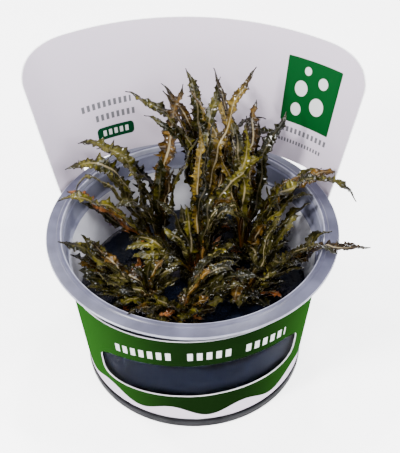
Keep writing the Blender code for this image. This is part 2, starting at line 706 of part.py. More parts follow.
def folded_strip(name, path, half, across, out, step, collection):
    """A folded strip with a toothed, rippled edge: four points a station, closed at both ends."""
    points = []
    stations = list(range(0, LEAF_STATIONS, step))
    for k, i in enumerate(stations):
        blade = min(max(half[i] - 0.8, 0.0), 1.0)
        beat = 1.0 if k % 2 else -1.0
        reach = half[i] * (1.0 + TOOTH * beat * blade)
        rise = FOLD * half[i]
        ripple = RIPPLE * beat * blade
        thick = HALF_THICK * (0.45 + 0.55 * min(half[i] / PETIOLE_HALF, 1.0))
        centre = path[i] - 0.5 * rise * out[i]
        points.append(centre + reach * across[i] + (rise + ripple) * out[i])
        points.append(centre + thick * out[i])
        points.append(centre - reach * across[i] + (rise - ripple) * out[i])
        points.append(centre - thick * out[i])
    faces = []
    for k in range(len(stations) - 1):
        for j in range(4):
            a = 4 * k + j
            b = 4 * k + (j + 1) % 4
            faces.append((a, b, b + 4, a + 4))
    faces.append((3, 2, 1, 0))
    last = 4 * (len(stations) - 1)
    faces.append((last, last + 1, last + 2, last + 3))
    strip = mesh_object(name, points, faces, collection)
    work = bmesh.new()
    work.from_mesh(strip.data)
    bmesh.ops.recalc_face_normals(work, faces=work.faces)
    bmesh.ops.triangulate(work, faces=work.faces)
    work.to_mesh(strip.data)
    work.free()
    return strip


def make_leaves(collection, cutters):
    """The long leaves as their own pieces, and the short ones joined to their crowns."""
    paths, halves, turns = leaf_layout()
    across, out = leaf_frames(paths, turns)
    for i, row in enumerate(LEAF_ROWS):
        length = np.linalg.norm(np.diff(paths[i], axis=0), axis=1).sum()
        step = LONG_LEAF_STEP if length > LONG_LEAF else SHORT_LEAF_STEP
        number = i + 1
        leaf = folded_strip(f"leaf_{number:02d}", paths[i], halves[i], across[i], out[i], step, collection)
        leaf.data.materials.append(material(f"leaf_{row[8]}_{number:02d}", LEAF_COLOURS[row[8]], 0.3))
    for i, (crown, k) in enumerate(tuft_rows()[1], start=len(LEAF_ROWS)):
        name = f"young_{crown}_{k}"
        blade = folded_strip(name, paths[i], halves[i], across[i], out[i], TUFT_STEP, cutters)
        blade.hide_render = True
        blade.display_type = "WIRE"
        join = bpy.data.objects[f"crown_{crown}"].modifiers.new(name, "BOOLEAN")
        join.operation = "UNION"
        join.solver = "MANIFOLD"
        join.object = blade


def main():
    clear_scene()
    parts = new_collection(COLLECTION_NAME)
    cutters = new_collection("cutters")
    smooth_after = [make_cup(parts)]
    sockets = make_crowns(parts, cutters)
    smooth_after.append(make_gel(parts, sockets))
    make_sleeve(parts)
    make_leaves(parts, cutters)
    for made in smooth_after:
        smooth(made)


if __name__ == "__main__":
    main()
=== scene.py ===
"""Looks for the in vitro plant cup: wet crinkled leaves, dark gel, a cloudy cup and a printed card sleeve."""

import math

import bmesh
import bpy
import numpy as np
from mathutils import Matrix, Vector


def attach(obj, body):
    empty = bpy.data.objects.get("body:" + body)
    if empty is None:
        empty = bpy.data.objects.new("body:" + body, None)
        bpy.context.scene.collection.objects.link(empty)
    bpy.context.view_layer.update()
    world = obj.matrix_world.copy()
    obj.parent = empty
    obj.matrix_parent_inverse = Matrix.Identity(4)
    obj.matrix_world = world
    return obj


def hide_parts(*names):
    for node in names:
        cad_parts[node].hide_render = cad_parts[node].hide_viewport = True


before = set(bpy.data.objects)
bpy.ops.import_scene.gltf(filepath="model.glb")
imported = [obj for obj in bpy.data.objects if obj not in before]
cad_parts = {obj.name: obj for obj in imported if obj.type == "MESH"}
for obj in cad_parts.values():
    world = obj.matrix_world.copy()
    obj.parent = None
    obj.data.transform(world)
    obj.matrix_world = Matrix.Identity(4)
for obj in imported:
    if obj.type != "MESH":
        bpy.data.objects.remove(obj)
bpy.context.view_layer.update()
BODY = "root"

# Lengths are millimetres and angles are degrees. Meshes are made in metres with MM.
MM = 0.001
SAME_PLACE = 0.000001

# Cup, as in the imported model.
CUP_STEPS = 144
FLANGE_RADIUS = 50.0
FLANGE_EDGE_TOP = 58.9
FLANGE_THICK = 0.75
RIM_TOP = 60.0
LIP_RADIUS = 44.6
RIM_WIDTH = 2.0
SHOULDER_RADIUS = 43.9
SHOULDER_TOP = 57.2
LEDGE_TOP = 51.5
WALL_FOOT_RADIUS = 38.6
WALL_FOOT_Z = 4.6
WALL_SLOPE = 0.1
WALL_TOP_Z = 50.7
WALL_THICK = 0.9
FOOT_RADIUS = 39.5
FOOT_HEIGHT = 2.9
FLOOR_THICK = 1.2
FLOOR_CORNER = 0.8

# Gel.
GEL_TOP = 31.0
MENISCUS = 0.5
GAP = 0.3

# Crowns: each plantlet's place on the gel.
CROWN_PLACES = {
    1: (-3.0, -17.0),
    2: (-17.0, -7.0),
    3: (21.0, -6.0),
    4: (-13.0, 18.0),
    5: (1.0, 5.0),
    6: (20.0, 14.0),
    7: (5.0, 27.0),
}
CROWN_RADIUS = 3.3
CROWN_TOP = 33.3
CROWN_DEPTH = 8.0

# Sleeve. Its angle runs from the front middle towards the right.
CARD_THICK = 0.5
SLEEVE_FOOT_RADIUS = 39.2
SLEEVE_FOOT_Z = 4.6
SLEEVE_SLOPE = 0.107
SLEEVE_SEAM = -100.0
SEAM_GAP = 0.4
FRONT_TOP_Z = 50.4
FRONT_TILT = 0.035
FRONT_DROP = 0.0009
FRONT_END_ANGLE = 60.0
FLAT_RADIUS = 45.0
CARD_MIDDLE = 178.0
CARD_HALF_ANGLE = 67.6
CARD_TOP_Z = 110.3
CARD_TOP_TILT = 0.013
CARD_CORNER_ANGLE = 17.0
CARD_CORNER_HEIGHT = 11.0
# The back card's edges curve up out of the sleeve's low top: degrees beyond the edge, and height.
EDGE_CURVE_START = 6.0
LEFT_EDGE_CURVE = ((3.2, 51.0), (1.5, 52.0), (0.4, 53.8), (0.0, 56.0))
RIGHT_EDGE_CURVE = ((0.0, 56.0), (0.4, 54.0), (1.5, 52.6), (3.4, 51.2))
CARD_BEND_Z = 59.0
CARD_BEND_RADIUS = 63.0
CARD_BEND_GROWTH = 0.375
CARD_BACK_Y = 45.3
CARD_LEAN = 0.12
CARD_LIFT_Z = 8.0
CARD_FLARE_END = 92.0
CARD_FLARE_START = 58.0
CARD_TURN_LIMIT = 120.0
SLOT_HALF_ANGLE = 53.0
SLOT_BOTTOM_Z = 50.4
SLOT_TOP_Z = 60.4
SLOT_CORNER_ANGLE = 1.5
SLOT_CORNER_HEIGHT = 1.2
WINDOW_MIDDLE = 3.5
WINDOW_HALF_ANGLE = 54.0
WINDOW_Z = 28.0
WINDOW_HALF_HEIGHT = 9.2
WINDOW_TILT = 0.055
WINDOW_DROP = 0.0016
WINDOW_SQUARENESS = 4.0
WINDOW_STEPS = 96
STRIP_ANGLE = 2.0
LEVEL_SPANS = ((14.0, 56.0), (64.0, 110.0))
LEVEL_GAP = 6.0

# Leaves. Each row gives the crown, the heading from the right side turning left, the reach across,
# the rise, the arch above the chord, the shoulder pushed along the chord, the droop of the tip,
# the blade's width, and its colour kind.
LEAF_ROWS = (
    (4, 50, 16, 63, 6, 1, 0, 5.6, "brown"),
    (7, 170, 28, 59, 12, 8, 0, 5.2, "olive"),
    (7, 122, 13, 64, 7, 8, 0, 5.2, "olive"),
    (6, 117, 27, 64, 8, 8, 0, 2.4, "brown"),
    (5, 54, 36, 67, 9, 8, 0, 4.2, "amber"),
    (5, 40, 34, 38, 10, 6, 0, 4.8, "olive"),
    (7, 18, 28, 36, 14, 12, 1, 5.2, "olive"),
    (7, 27, 24, 43, 11, 12, 1, 2.4, "dark"),
    (6, 83, 22, 52, 8, 10, 0, 4.0, "brown"),
    (7, 119, 11, 48, 6, 10, 0, 4.8, "amber"),
    (6, 115, 27, 52, 9, 10, 0, 4.0, "amber"),
    (5, 150, 16, 26, 6, 4, 0, 4.6, "dark"),
    (6, -8, 37, 34, 14, 8, 6, 6.0, "olive"),
    (6, 8, 33, 33, 10, 6, 0, 4.4, "brown"),
    (6, 13, 26, 34, 4, 8, 0, 2.8, "olive"),
    (6, -10, 22, 30, 7, 6, 0, 4.4, "olive"),
    (5, 24, 22, 12, 20, 8, 0, 4.0, "pale"),
    (6, -14, 8, 23, 1, 2, 0, 3.0, "pale"),
    (6, -21, 22, 30, 1, 3, 0, 4.4, "olive"),
    (3, 36, 20, 25, 3, 4, 0, 4.4, "young"),
    (3, -19, 39, 32.6, 4, 4, 0, 4.6, "brown"),
    (3, -24, 18, 18, 4, 3, 0, 4.0, "dark"),
    (3, -24, 29, 29, 7, 8, 0, 4.4, "dark"),
    (1, 25, 21, 14, 8, 4, 0, 5.0, "pale"),
    (1, 7, 25, 15, 5, 4, 0, 5.0, "olive"),
    (6, -75, 19, 8, 5, 1, 0, 4.6, "dark"),
    (3, -52, 15, 8, 2, 1, 0, 3.2, "red"),
    (3, -119, 16, 8, 4, 2, 0, 4.0, "brown"),
    (4, 180, 31, 36, 12, 10, 0, 6.0, "olive"),
    (4, -168, 28, 35, 8, 12, 5, 2.8, "dark"),
    (4, 163, 28, 41, 11, 10, 0, 6.0, "young"),
    (4, 154, 23, 37, 8, 9, 0, 4.8, "dark"),
    (4, -162, 35, 31, 7, 6, 0, 4.6, "olive"),
    (4, -150, 16, 25, 6, 8, 0, 5.0, "dark"),
    (2, -168, 28, 31, 3, 5, 0, 4.6, "olive"),
    (2, 180, 23, 22, 2.5, 6, 0, 3.4, "young"),
    (2, -155, 22, 18, 1, 4, 0, 5.2, "olive"),
    (2, 170, 17, 17, -3, -2, 0, 3.0, "pale"),
    (5, -173, 25, 12, 6, 5, 0, 4.4, "young"),
    (2, 108, 8, 11, 1, 0, 0, 3.4, "red"),
    (1, -117, 17, 15, 2, 1, 0, 3.4, "red"),
    (1, -93, 16, 14, 2, 2, 0, 3.6, "young"),
    (1, -124, 31, 28, 1, 2, 0, 3.4, "dark"),
    (4, -169, 31, 31, 2, 8, 0, 3.6, "red"),
    (2, -117, 17, 11, 1, 0, 0, 4.4, "olive"),
    (5, 123, 13, 12, 2, 2, 0, 4.2, "red"),
    (7, 127, 7, 21, 1, 1, 0, 4.2, "young"),
    (1, -44, 11, 15, 1, 2, 0, 4.0, "brown"),
    (5, -20, 17, 10, 5, 2, 0, 4.6, "dark"),
    (2, 40, 14, 12, 5, 1, 0, 4.6, "dark"),
)
LEAF_BASE_RADIUS = 2.3
LEAF_BASE_Z = 34.3
LEAF_STATIONS = 31
PETIOLE_HALF = 0.72
TIP_HALF = 0.16
BLADE_START = 0.08
BLADE_FULL = 0.26
BLADE_TAPER = 0.6
BLADE_END = 0.95
TOOTH = 0.26
FOLD = 0.35
RIPPLE = 0.35
HALF_THICK = 0.36
TURN = 16.0
TURN_PACE = 2.4
TURN_SHIFT = 0.7
RIPPLE_FROM = 1.0
SPARE_WIDTH = 0.05
SPARE_HEIGHT = 0.1
DROOP_START = 0.8

# Short young leaves, grown together with each crown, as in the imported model.
TUFT_BLADES = 5
TUFT_BASE_RADIUS = 1.6
TUFT_BASE_Z = 32.6
TUFT_REACH = 11.5
TUFT_REACH_SPREAD = 3.5
TUFT_RISE = 6.0
TUFT_RISE_SPREAD = 3.5
TUFT_ARCH = 1.2
TUFT_WIDTH = 4.2
TUFT_TURN = 17.0
TUFT_LEFT_OUT = ((1, 2), (2, 2), (4, 0))

# How the leaves are pushed clear of each other and of the cup and card.
RELAX_ROUNDS = 420
REFRESH_ROUNDS = 12
NEAR_DISTANCE = 9.0
STILL_PART = 0.03
FREE_PART = 0.15
RELAX_STEP = 0.9
CLEARANCE = 0.5
GEL_CLEAR = 0.4
CARD_CLEAR = 0.6
CARD_REACH = 1.15

# Fine leaf surface.
SEED = 20417
SMALL_LEAF_SEED = SEED - 50
STATION_GAP = 0.29
SMALL_STATION_GAP = 0.46
COLUMNS = (0.0, 0.12, 0.28, 0.46, 0.64, 0.82, 0.93, 1.0)
SMALL_COLUMNS = (0.0, 0.3, 0.72, 1.0)
TOOTH_PITCH = 1.9
TOOTH_REACH = 0.62
RUFFLE = 0.42
BLISTER = 0.09
CRUMPLE = 0.13
BLADE_HALF_THICK = 0.1
MIDRIB_HALF_THICK = 0.3
MIDRIB_WIDTH = 0.36
WANDER = 0.65
EXTRA_TWIST = 26.0
TIP_FULLNESS = 0.92
WIDTH_CHANGE = 0.14
LEAST_TOOTH_HALF = 1.1
LEAST_STALK_HALF = 0.06
FEWEST_STATIONS = 26
BLADE_SHARE = {
    "olive": 0.86, "brown": 0.95, "amber": 0.95, "young": 0.8, "dark": 0.8, "pale": 0.62, "red": 0.8
}

# Lengths along a leaf of its slow and quick waves.
SIDE_WAVE = 19.0
FACE_WAVE = 15.0
TWIST_WAVE = 17.0
WIDTH_WAVE = 8.0
PITCH_WAVE = 5.0
TOOTH_WAVE = 3.3
BLISTER_WAVE = 9.0
NOTCH_WAVE = 4.7
CURL_WAVE = 6.5
CRUMPLE_WAVE = 2.1
MARGIN_WAVE = 1.9

# Small leaves among the solid ones. Each keeps beside one solid leaf and ends short of its tip.
SHADOW_LEAVES = {1: 6, 2: 8, 3: 4, 4: 1, 5: 5, 6: 2, 7: 2}
SHADOW_LENGTH = (0.55, 0.96)
TALL_SHADOW_LENGTH = (0.3, 0.62)
SHADOW_DRIFT = 6.5
TALL_RISE = 27.0
TOP_RISE = 47.0
TOP_SHADOWS = 3
TOP_DRIFT = 11.0
TOP_SHADOW_LENGTH = (0.55, 0.9)
SHADOW_WIDTH = (2.8, 4.4)
SHADOW_LOWEST = 1.2
FRONT_CROWN = 1
FRONT_CROWNS = (1, 2, 3)
SPRIG_LEAVES = {1: 2, 2: 7, 3: 7, 4: 5, 5: 6, 6: 6, 7: 5}
SPRIG_LENGTH = (0.7, 1.0)
SPRIG_WIDTH = (2.6, 4.0)
SPRIG_LOWEST = 1.0
SPRIG_SWING = 34.0
SPRIG_LIFT = (-0.6, 1.4)
TUFT_MOST_TURN = 40.0
SPRIG_MOST_TURN = 70.0
SHADOW_MOST_TURN = 60.0
FRONT_KINDS = ("red", "young", "brown", "pale", "amber")
YOUNG_KINDS = ("dark", "olive", "dark", "brown", "dark", "red", "dark", "young", "dark")
SHADOW_KINDS = ("dark", "olive", "dark", "brown", "dark", "pale")
TOP_KINDS = ("brown", "dark", "olive", "amber", "dark", "brown", "olive")


def link(made):
    bpy.context.scene.collection.objects.link(made)
    return made


def mesh_from(name, points, faces):
    """An object from points in millimetres and faces of equal or mixed length."""
    mesh = bpy.data.meshes.new(name)
    mesh.from_pydata((np.asarray(points, float) * MM).tolist(), [], [list(map(int, face)) for face in faces])
    mesh.validate()
    return link(bpy.data.objects.new(name, mesh))


def add_number(made, name, values):
    """Store one number a point, which a material reads by name."""
    attribute = made.data.attributes.new(name, "FLOAT", "POINT")
    attribute.data.foreach_set("value", np.asarray(values, np.float32))


def outward(made, angle=None):
    """Point the faces outward and shade them smooth, with edges sharper than the angle kept."""
    work = bmesh.new()
    work.from_mesh(made.data)
    bmesh.ops.recalc_face_normals(work, faces=work.faces)
    work.to_mesh(made.data)
    work.free()
    made.data.shade_smooth()
    if angle is not None:
        made.data.set_sharp_from_angle(angle=math.radians(angle))


def unit(vectors):
    return vectors / np.maximum(np.linalg.norm(vectors, axis=-1, keepdims=True), 1e-9)


def smoothstep(value):
    value = np.clip(value, 0.0, 1.0)
    return value * value * (3.0 - 2.0 * value)


# Materials


class Skin:
    """A Principled material with even values on the shader's own sockets, and short calls for its nodes."""

    def __init__(self, name, colour, roughness, **inputs):
        self.made = bpy.data.materials.new(name)
        self.made.use_nodes = True
        self.made.diffuse_color = (*colour, 1.0)
        self.tree = self.made.node_tree
        self.set("Base Color", colour)
        self.set("Roughness", roughness)
        for key, value in inputs.items():
            self.set(key.replace("_", " "), value)

    def put(self, socket, value):
        if isinstance(value, bpy.types.NodeSocket):
            self.tree.links.new(value, socket)
        else:
            socket.default_value = (*value, 1.0) if socket.type == "RGBA" else value

    def set(self, name, value):
        self.put(self.tree.nodes["Principled BSDF"].inputs[name], value)

    def node(self, kind, output, values=(), **settings):
        """The output of a new node with these settings and input values."""
        node = self.tree.nodes.new("ShaderNode" + kind)
        for key, value in settings.items():
            setattr(node, key, value)
        for key, value in dict(values).items():
            self.put(node.inputs[key], value)
        return node.outputs[output]

    def maths(self, kind, *values):
        return self.node("Math", 0, enumerate(values), operation=kind)

    def times(self, first, second):
        return self.maths("MULTIPLY", first, second)

    def less(self, first, second):
        return self.maths("SUBTRACT", first, second)

    def away(self, value, centre):
        """How far a value is from a centre, on either side."""
        return self.maths("ABSOLUTE", self.less(value, centre))

    def length(self, first, second):
        """The length of a flat vector."""
        return self.maths("SQRT", self.maths("ADD", self.times(first, first), self.times(second, second)))

    def number(self, name):
        return self.node("Attribute", "Fac", attribute_name=name)

    def place(self):
        return self.node("TexCoord", "Object")

    def distance(self, point):
        """Millimetres from a point of the object."""
        values = {0: self.place(), 1: [MM * value for value in point]}
        return self.maths("DIVIDE", self.node("VectorMath", "Value", values, operation="DISTANCE"), MM)

    def noise(self, scale, detail=2.0, roughness=0.5):
        """Noise whose features are about scale millimetres."""
        values = {"Vector": self.place(), "Scale": 1.0 / (MM * scale)}
        return self.node("TexNoise", "Fac", {**values, "Detail": detail, "Roughness": roughness})

    def step(self, value, low, high):
        """0 below low, 1 above high, smooth between; low above high turns it round."""
        values = {"Value": value, "From Min": low, "From Max": high}
        return self.node("MapRange", "Result", values, interpolation_type="SMOOTHSTEP")

    def edge(self, value, limit, soft):
        """1 below the limit and 0 above it, with a thin soft edge."""
        return self.step(value, limit + soft, limit - soft)

    def ramp(self, value, *stops):
        colour = self.node("ValToRGB", "Color", {"Fac": value})
        band = colour.node.color_ramp
        while len(band.elements) < len(stops):
            band.elements.new(0.5)
        for element, (place, stop) in zip(band.elements, stops):
            element.position = place
            element.color = (*stop, 1.0)
        return colour

    def mix(self, factor, first, second):
        return self.node("Mix", "Result", {"Factor": factor, "A": first, "B": second}, data_type="RGBA")

    def bump(self, height, strength, distance):
        values = {"Height": height, "Strength": strength, "Distance": MM * distance}
        self.set("Normal", self.node("Bump", "Normal", values))


RIB_COLOUR = (0.23, 0.185, 0.11)
MARGIN_COLOUR = (0.01, 0.006, 0.0015)
TIP_COLOUR = (0.008, 0.007, 0.004)
PLAIN_RIB_KINDS = ("brown", "amber", "pale")
# For each kind: its dark, body, bright and stalk colours, as linear RGB.
LEAF_COLOURS = {
    "olive": ((0.003, 0.0031, 0.0004), (0.019, 0.0165, 0.0008), (0.09, 0.075, 0.006), (0.035, 0.015, 0.002)),
    "brown": ((0.0045, 0.0022, 0.0004), (0.031, 0.0145, 0.0009), (0.12, 0.062, 0.008), (0.05, 0.015, 0.003)),
    "amber": ((0.006, 0.0032, 0.0004), (0.036, 0.0205, 0.0009), (0.125, 0.082, 0.009), (0.062, 0.021, 0.003)),
    "young": ((0.008, 0.0072, 0.0008), (0.042, 0.036, 0.0024), (0.16, 0.135, 0.02), (0.1, 0.058, 0.005)),
    "dark": ((0.0014, 0.0015, 0.0005), (0.01, 0.0088, 0.0012), (0.05, 0.042, 0.008), (0.018, 0.007, 0.002)),
    "pale": ((0.014, 0.0125, 0.0015), (0.06, 0.052, 0.011), (0.15, 0.13, 0.05), (0.09, 0.045, 0.008)),
    "red": ((0.012, 0.004, 0.0008), (0.085, 0.021, 0.003), (0.24, 0.09, 0.025), (0.13, 0.032, 0.006)),
}


def leaf_material(kind, dark, body, bright, stalk):
    """A wet, blistered leaf: painted shade in the blister hollows, painted highlight and shade specks on the
    fine bumps, a pale midrib, a brown edge and a stalk of its own colour.
    """
    wet = {"Specular_IOR_Level": 0.03, "Coat_Weight": 1.0, "Coat_Roughness": 0.07, "Coat_IOR": 1.26}
    skin = Skin(f"leaf_{kind}_wet", body, 0.3, **wet)
    across = skin.maths("ABSOLUTE", skin.number("across"))
    along = skin.number("along")
    tone = skin.number("tone")
    patches = skin.maths("ADD", skin.noise(5.5, 3.0), skin.times(tone, 0.16))
    colour = skin.ramp(patches, (0.36, dark), (0.52, body), (0.7, bright))
    # Painted shade: the leaf is darker where its surface lies low between blisters.
    hollow_shade = skin.mix(0.6, colour, dark)
    colour = skin.mix(skin.step(skin.number("lump"), -0.5, 0.4), hollow_shade, colour)
    fine = skin.noise(0.9, 3.0, 0.65)
    # Painted highlight on the tops of the fine bumps and painted shade in their pits; the same noise sets the
    # bump's height.
    colour = skin.mix(skin.times(skin.step(fine, 0.56, 0.78), 0.45), colour, bright)
    colour = skin.mix(skin.step(fine, 0.46, 0.28), colour, dark)
    colour = skin.mix(skin.times(skin.step(across, 0.7, 1.0), 0.6), colour, MARGIN_COLOUR)
    shown = 0.65
    if kind not in PLAIN_RIB_KINDS:
        shown = skin.maths("MULTIPLY_ADD", skin.step(tone, -0.1, 0.4), 0.4, 0.1)
    rib = skin.times(skin.step(across, 0.2, 0.08), skin.step(along, 0.97, 0.6))
    colour = skin.mix(skin.times(rib, shown), colour, RIB_COLOUR)
    colour = skin.mix(skin.step(along, 0.22, 0.05), colour, stalk)
    skin.set("Base Color", skin.mix(skin.step(along, 0.88, 0.99), colour, TIP_COLOUR))
    skin.set("Roughness", skin.ramp(skin.noise(1.4), (0.35, (0.14,) * 3), (0.7, (0.5,) * 3)))
    skin.bump(fine, 0.6, 0.16)
    return skin.made


def mottled(name, dark, pale, roughness, gloss, size):
    """An opaque surface of two close colours, in soft patches of about the given size."""
    skin = Skin(name, pale, roughness, Specular_IOR_Level=gloss)
    patches = skin.step(skin.noise(size, 4.0, 0.6), 0.35, 0.68)
    skin.set("Base Color", skin.mix(patches, dark, pale))
    skin.set("Roughness", skin.ramp(skin.noise(0.5 * size), (0.3, (roughness,) * 3), (0.75, (0.7,) * 3)))
    return skin.made


def cloudy_plastic(name, dark, pale):
    """Cloudy moulded plastic with faint flow marks."""
    skin = Skin(name, pale, 0.3, IOR=1.46, Transmission_Weight=0.2, Specular_IOR_Level=0.35)
    skin.set("Base Color", skin.mix(skin.step(skin.noise(8.0, 3.0), 0.3, 0.7), dark, pale))
    skin.bump(skin.noise(3.0, 3.0), 0.1, 0.2)
    return skin.made


def clear_plastic():
    """The tapered wall and the floor: thin clear plastic, a little frosted, with a faint violet tint."""
    skin = Skin("cup_clear", (0.9, 0.9, 0.97), 0.3, IOR=1.02, Transmission_Weight=1.0, Specular_IOR_Level=0.0)
    skin.set("Base Color", skin.mix(skin.noise(11.0), (0.86, 0.86, 0.94), (0.94, 0.94, 0.99)))
    return skin.made


STAIN_PLACE = (-30.4, 27.4, 36.8)
STAIN_RADIUS = 1.1
STAIN_COLOUR = (0.2, 0.06, 0.22)


def inner_wall_painted_light():
    """The wall's inner face above the gel: thin plastic whose pale cloudy colour is painted light, standing
    in for the lit card seen through the wall, and a small ring-shaped stain.
    """
    skin = Skin("cup_inner_painted_light", (0.6, 0.6, 0.66), 0.35, IOR=1.03, Transmission_Weight=0.3)
    painted_light = skin.mix(skin.noise(9.0, 3.0), (0.4, 0.4, 0.46), (0.85, 0.85, 0.9))
    ring = skin.step(skin.away(skin.distance(STAIN_PLACE), STAIN_RADIUS), 0.6, 0.2)
    skin.set("Base Color", skin.mix(skin.times(ring, 0.75), painted_light, STAIN_COLOUR))
    return skin.made


def gel_material():
    """The gel's wet dark top."""
    skin = Skin("gel_wet", (0.004, 0.006, 0.01), 0.1, Specular_IOR_Level=0.2)
    shades = ((0.3, (0.001, 0.0015, 0.003)), (0.55, (0.0035, 0.005, 0.011)), (0.8, (0.012, 0.017, 0.032)))
    skin.set("Base Color", skin.ramp(skin.noise(7.0, 3.0), *shades))
    skin.bump(skin.noise(2.6, 3.0), 0.5, 0.4)
    return skin.made


def crown_material(name, dark, body, bright):
    skin = Skin(name, body, 0.4, Specular_IOR_Level=0.2)
    mottle = skin.noise(1.8, 4.0, 0.6)
    skin.set("Base Color", skin.ramp(mottle, (0.34, dark), (0.5, body), (0.7, bright)))
    skin.bump(mottle, 0.6, 0.4)
    return skin.made


# Print on the card, laid out by angle round the cup and height. Sizes are degrees and millimetres.
CARD_WHITE = (0.42, 0.37, 0.44)
MARK_WHITE = (0.42, 0.43, 0.43)
GREEN = (0.001, 0.016, 0.001)
PRINT_GRAIN = 0.35
BAR_SHARE = 0.56
# The green's painted shade is centred at this angle, and it gives way to painted light towards the sides.
GREEN_SHADE_MIDDLE = 8.0
GREEN_PAINTED_SHADE = (0.0022, 0.0076, 0.0015)
GREEN_PAINTED_LIGHT = (0.009, 0.042, 0.0055)
GREEN_TOP_BEHIND = 51.9
WAVE_Z = 9.2
WAVE_HEIGHT = 2.2
WAVE_LENGTH = 36.0
WAVE_SHIFT = 11.0
BAND_Z = 42.3
BAND_TILT = 0.055
BAND_DROP = 0.0021
BAND_HALF_HEIGHT = 1.95
BAND_PITCH = 4.15
BAND_WORDS = ((-38.0, -9.0), (-3.5, 17.5), (22.5, 45.0))


def rounded_box(skin, across, upright, middle, half, radius):
    """1 inside a rounded box, 0 outside, with a thin soft edge."""
    apart = []
    for value, centre, reach in zip((across, upright), middle, half):
        apart.append(skin.maths("MAXIMUM", skin.less(skin.away(value, centre), reach - radius), 0.0))
    return skin.edge(skin.length(*apart), radius, 0.06)


def dashes(skin, across, upright, start, end, middle, half, pitch, share=BAR_SHARE):
    """A row of short upright bars between two places, which stands in for a line of words."""
    beat = skin.maths("FRACT", skin.maths("DIVIDE", skin.less(across, start), pitch))
    bar = skin.edge(skin.away(beat, 0.5), 0.5 * share, 0.03)
    row = skin.edge(skin.away(upright, middle), half, 0.08)
    span = skin.times(skin.step(across, start - 0.05, start + 0.05), skin.edge(across, end, 0.05))
    return skin.times(skin.times(bar, row), span)


def outside_print():
    """Green with a wavy white foot, and a band of plain white bars across the front; the green has painted
    shade in the front middle and painted light towards the sides.
    """
    skin = Skin("card_outside", GREEN, 0.5, Specular_IOR_Level=0.0)
    angle = skin.number("flat_angle")
    height = skin.number("flat_height")
    turn = skin.times(skin.maths("ADD", angle, WAVE_SHIFT), 2.0 * math.pi / WAVE_LENGTH)
    above = skin.less(height, skin.maths("MULTIPLY_ADD", skin.maths("COSINE", turn), WAVE_HEIGHT, WAVE_Z))
    green = skin.times(skin.step(above, -0.12, 0.12), skin.edge(height, GREEN_TOP_BEHIND, 0.1))
    bow = skin.less(skin.times(angle, BAND_TILT), skin.times(skin.times(angle, angle), BAND_DROP))
    level = skin.less(height, bow)
    marks = 0.0
    for start, end in BAND_WORDS:
        word = dashes(skin, angle, level, start, end, BAND_Z, BAND_HALF_HEIGHT, BAND_PITCH)
        marks = skin.maths("MAXIMUM", word, marks)
    # Painted shade and light: the green is darker in the front middle and lighter towards the sides.
    shade = skin.mix(skin.step(skin.away(angle, GREEN_SHADE_MIDDLE), 10.0, 75.0), GREEN_PAINTED_SHADE, GREEN_PAINTED_LIGHT)
    colour = skin.mix(green, CARD_WHITE, shade)
    skin.set("Base Color", skin.mix(skin.times(marks, green), colour, MARK_WHITE))
    skin.bump(skin.noise(PRINT_GRAIN), 0.12, 0.06)
    return skin.made


# Marks on the inner face of the back card. Turns run from its middle towards the right.
TEXT_ROWS = ((-47.0, -26.0, 81.3, 1.25), (-42.0, -25.0, 76.2, 1.25))
CAPTION_ROWS = ((38.0, 60.0, 72.5, 1.05), (39.0, 59.0, 68.0, 0.75))
ROW_PITCH = 1.75
ROW_SHARE = 0.55
TAG_MIDDLE = (-34.0, 69.7)
TAG_HALF = (8.0, 2.5)
PANEL_MIDDLE = (49.2, 88.3)
PANEL_HALF = (10.3, 12.7)
BUBBLES = ((44.6, 81.2, 2.5), (52.6, 84.6, 3.4), (45.4, 89.6, 3.0), (53.4, 94.0, 2.2), (47.0, 96.8, 1.6))
INK = (0.006, 0.016, 0.01)
TAG_GREEN = (0.0005, 0.022, 0.007)
PANEL_GREEN = (0.0006, 0.036, 0.006)
CARD_FAR_RADIUS = 70.0


def inside_print():
    """White card with rows of grey bars, a green tag at the left and a green panel at the right."""
    skin = Skin("card_inside", CARD_WHITE, 0.5, Specular_IOR_Level=0.05)
    turn = skin.less(180.0, skin.number("flat_angle"))
    height = skin.number("flat_height")
    ink = 0.0
    for start, end, middle, half in TEXT_ROWS + CAPTION_ROWS:
        row = dashes(skin, turn, height, start, end, middle, half, ROW_PITCH * half, ROW_SHARE)
        ink = skin.maths("MAXIMUM", row, ink)
    colour = skin.mix(skin.times(ink, 0.8), CARD_WHITE, INK)
    colour = skin.mix(rounded_box(skin, turn, height, TAG_MIDDLE, TAG_HALF, 1.6), colour, TAG_GREEN)
    tag_x, tag_z = TAG_MIDDLE
    marks = dashes(skin, turn, height, tag_x - 6.0, tag_x + 6.0, tag_z, 1.1, 2.4)
    colour = skin.mix(marks, colour, MARK_WHITE)
    colour = skin.mix(rounded_box(skin, turn, height, PANEL_MIDDLE, PANEL_HALF, 0.5), colour, PANEL_GREEN)
    for across, middle, radius in BUBBLES:
        wide = skin.times(skin.less(turn, across), math.radians(CARD_FAR_RADIUS))
        away = skin.length(wide, skin.less(height, middle))
        colour = skin.mix(skin.edge(away, radius, 0.12), colour, MARK_WHITE)
    skin.set("Base Color", colour)
    skin.bump(skin.noise(PRINT_GRAIN), 0.1, 0.06)
    return skin.made


# Cup and gel


def wall_radius(height):
    """The cup's outer radius on its tapered wall."""
    return WALL_FOOT_RADIUS + WALL_SLOPE * (height - WALL_FOOT_Z)


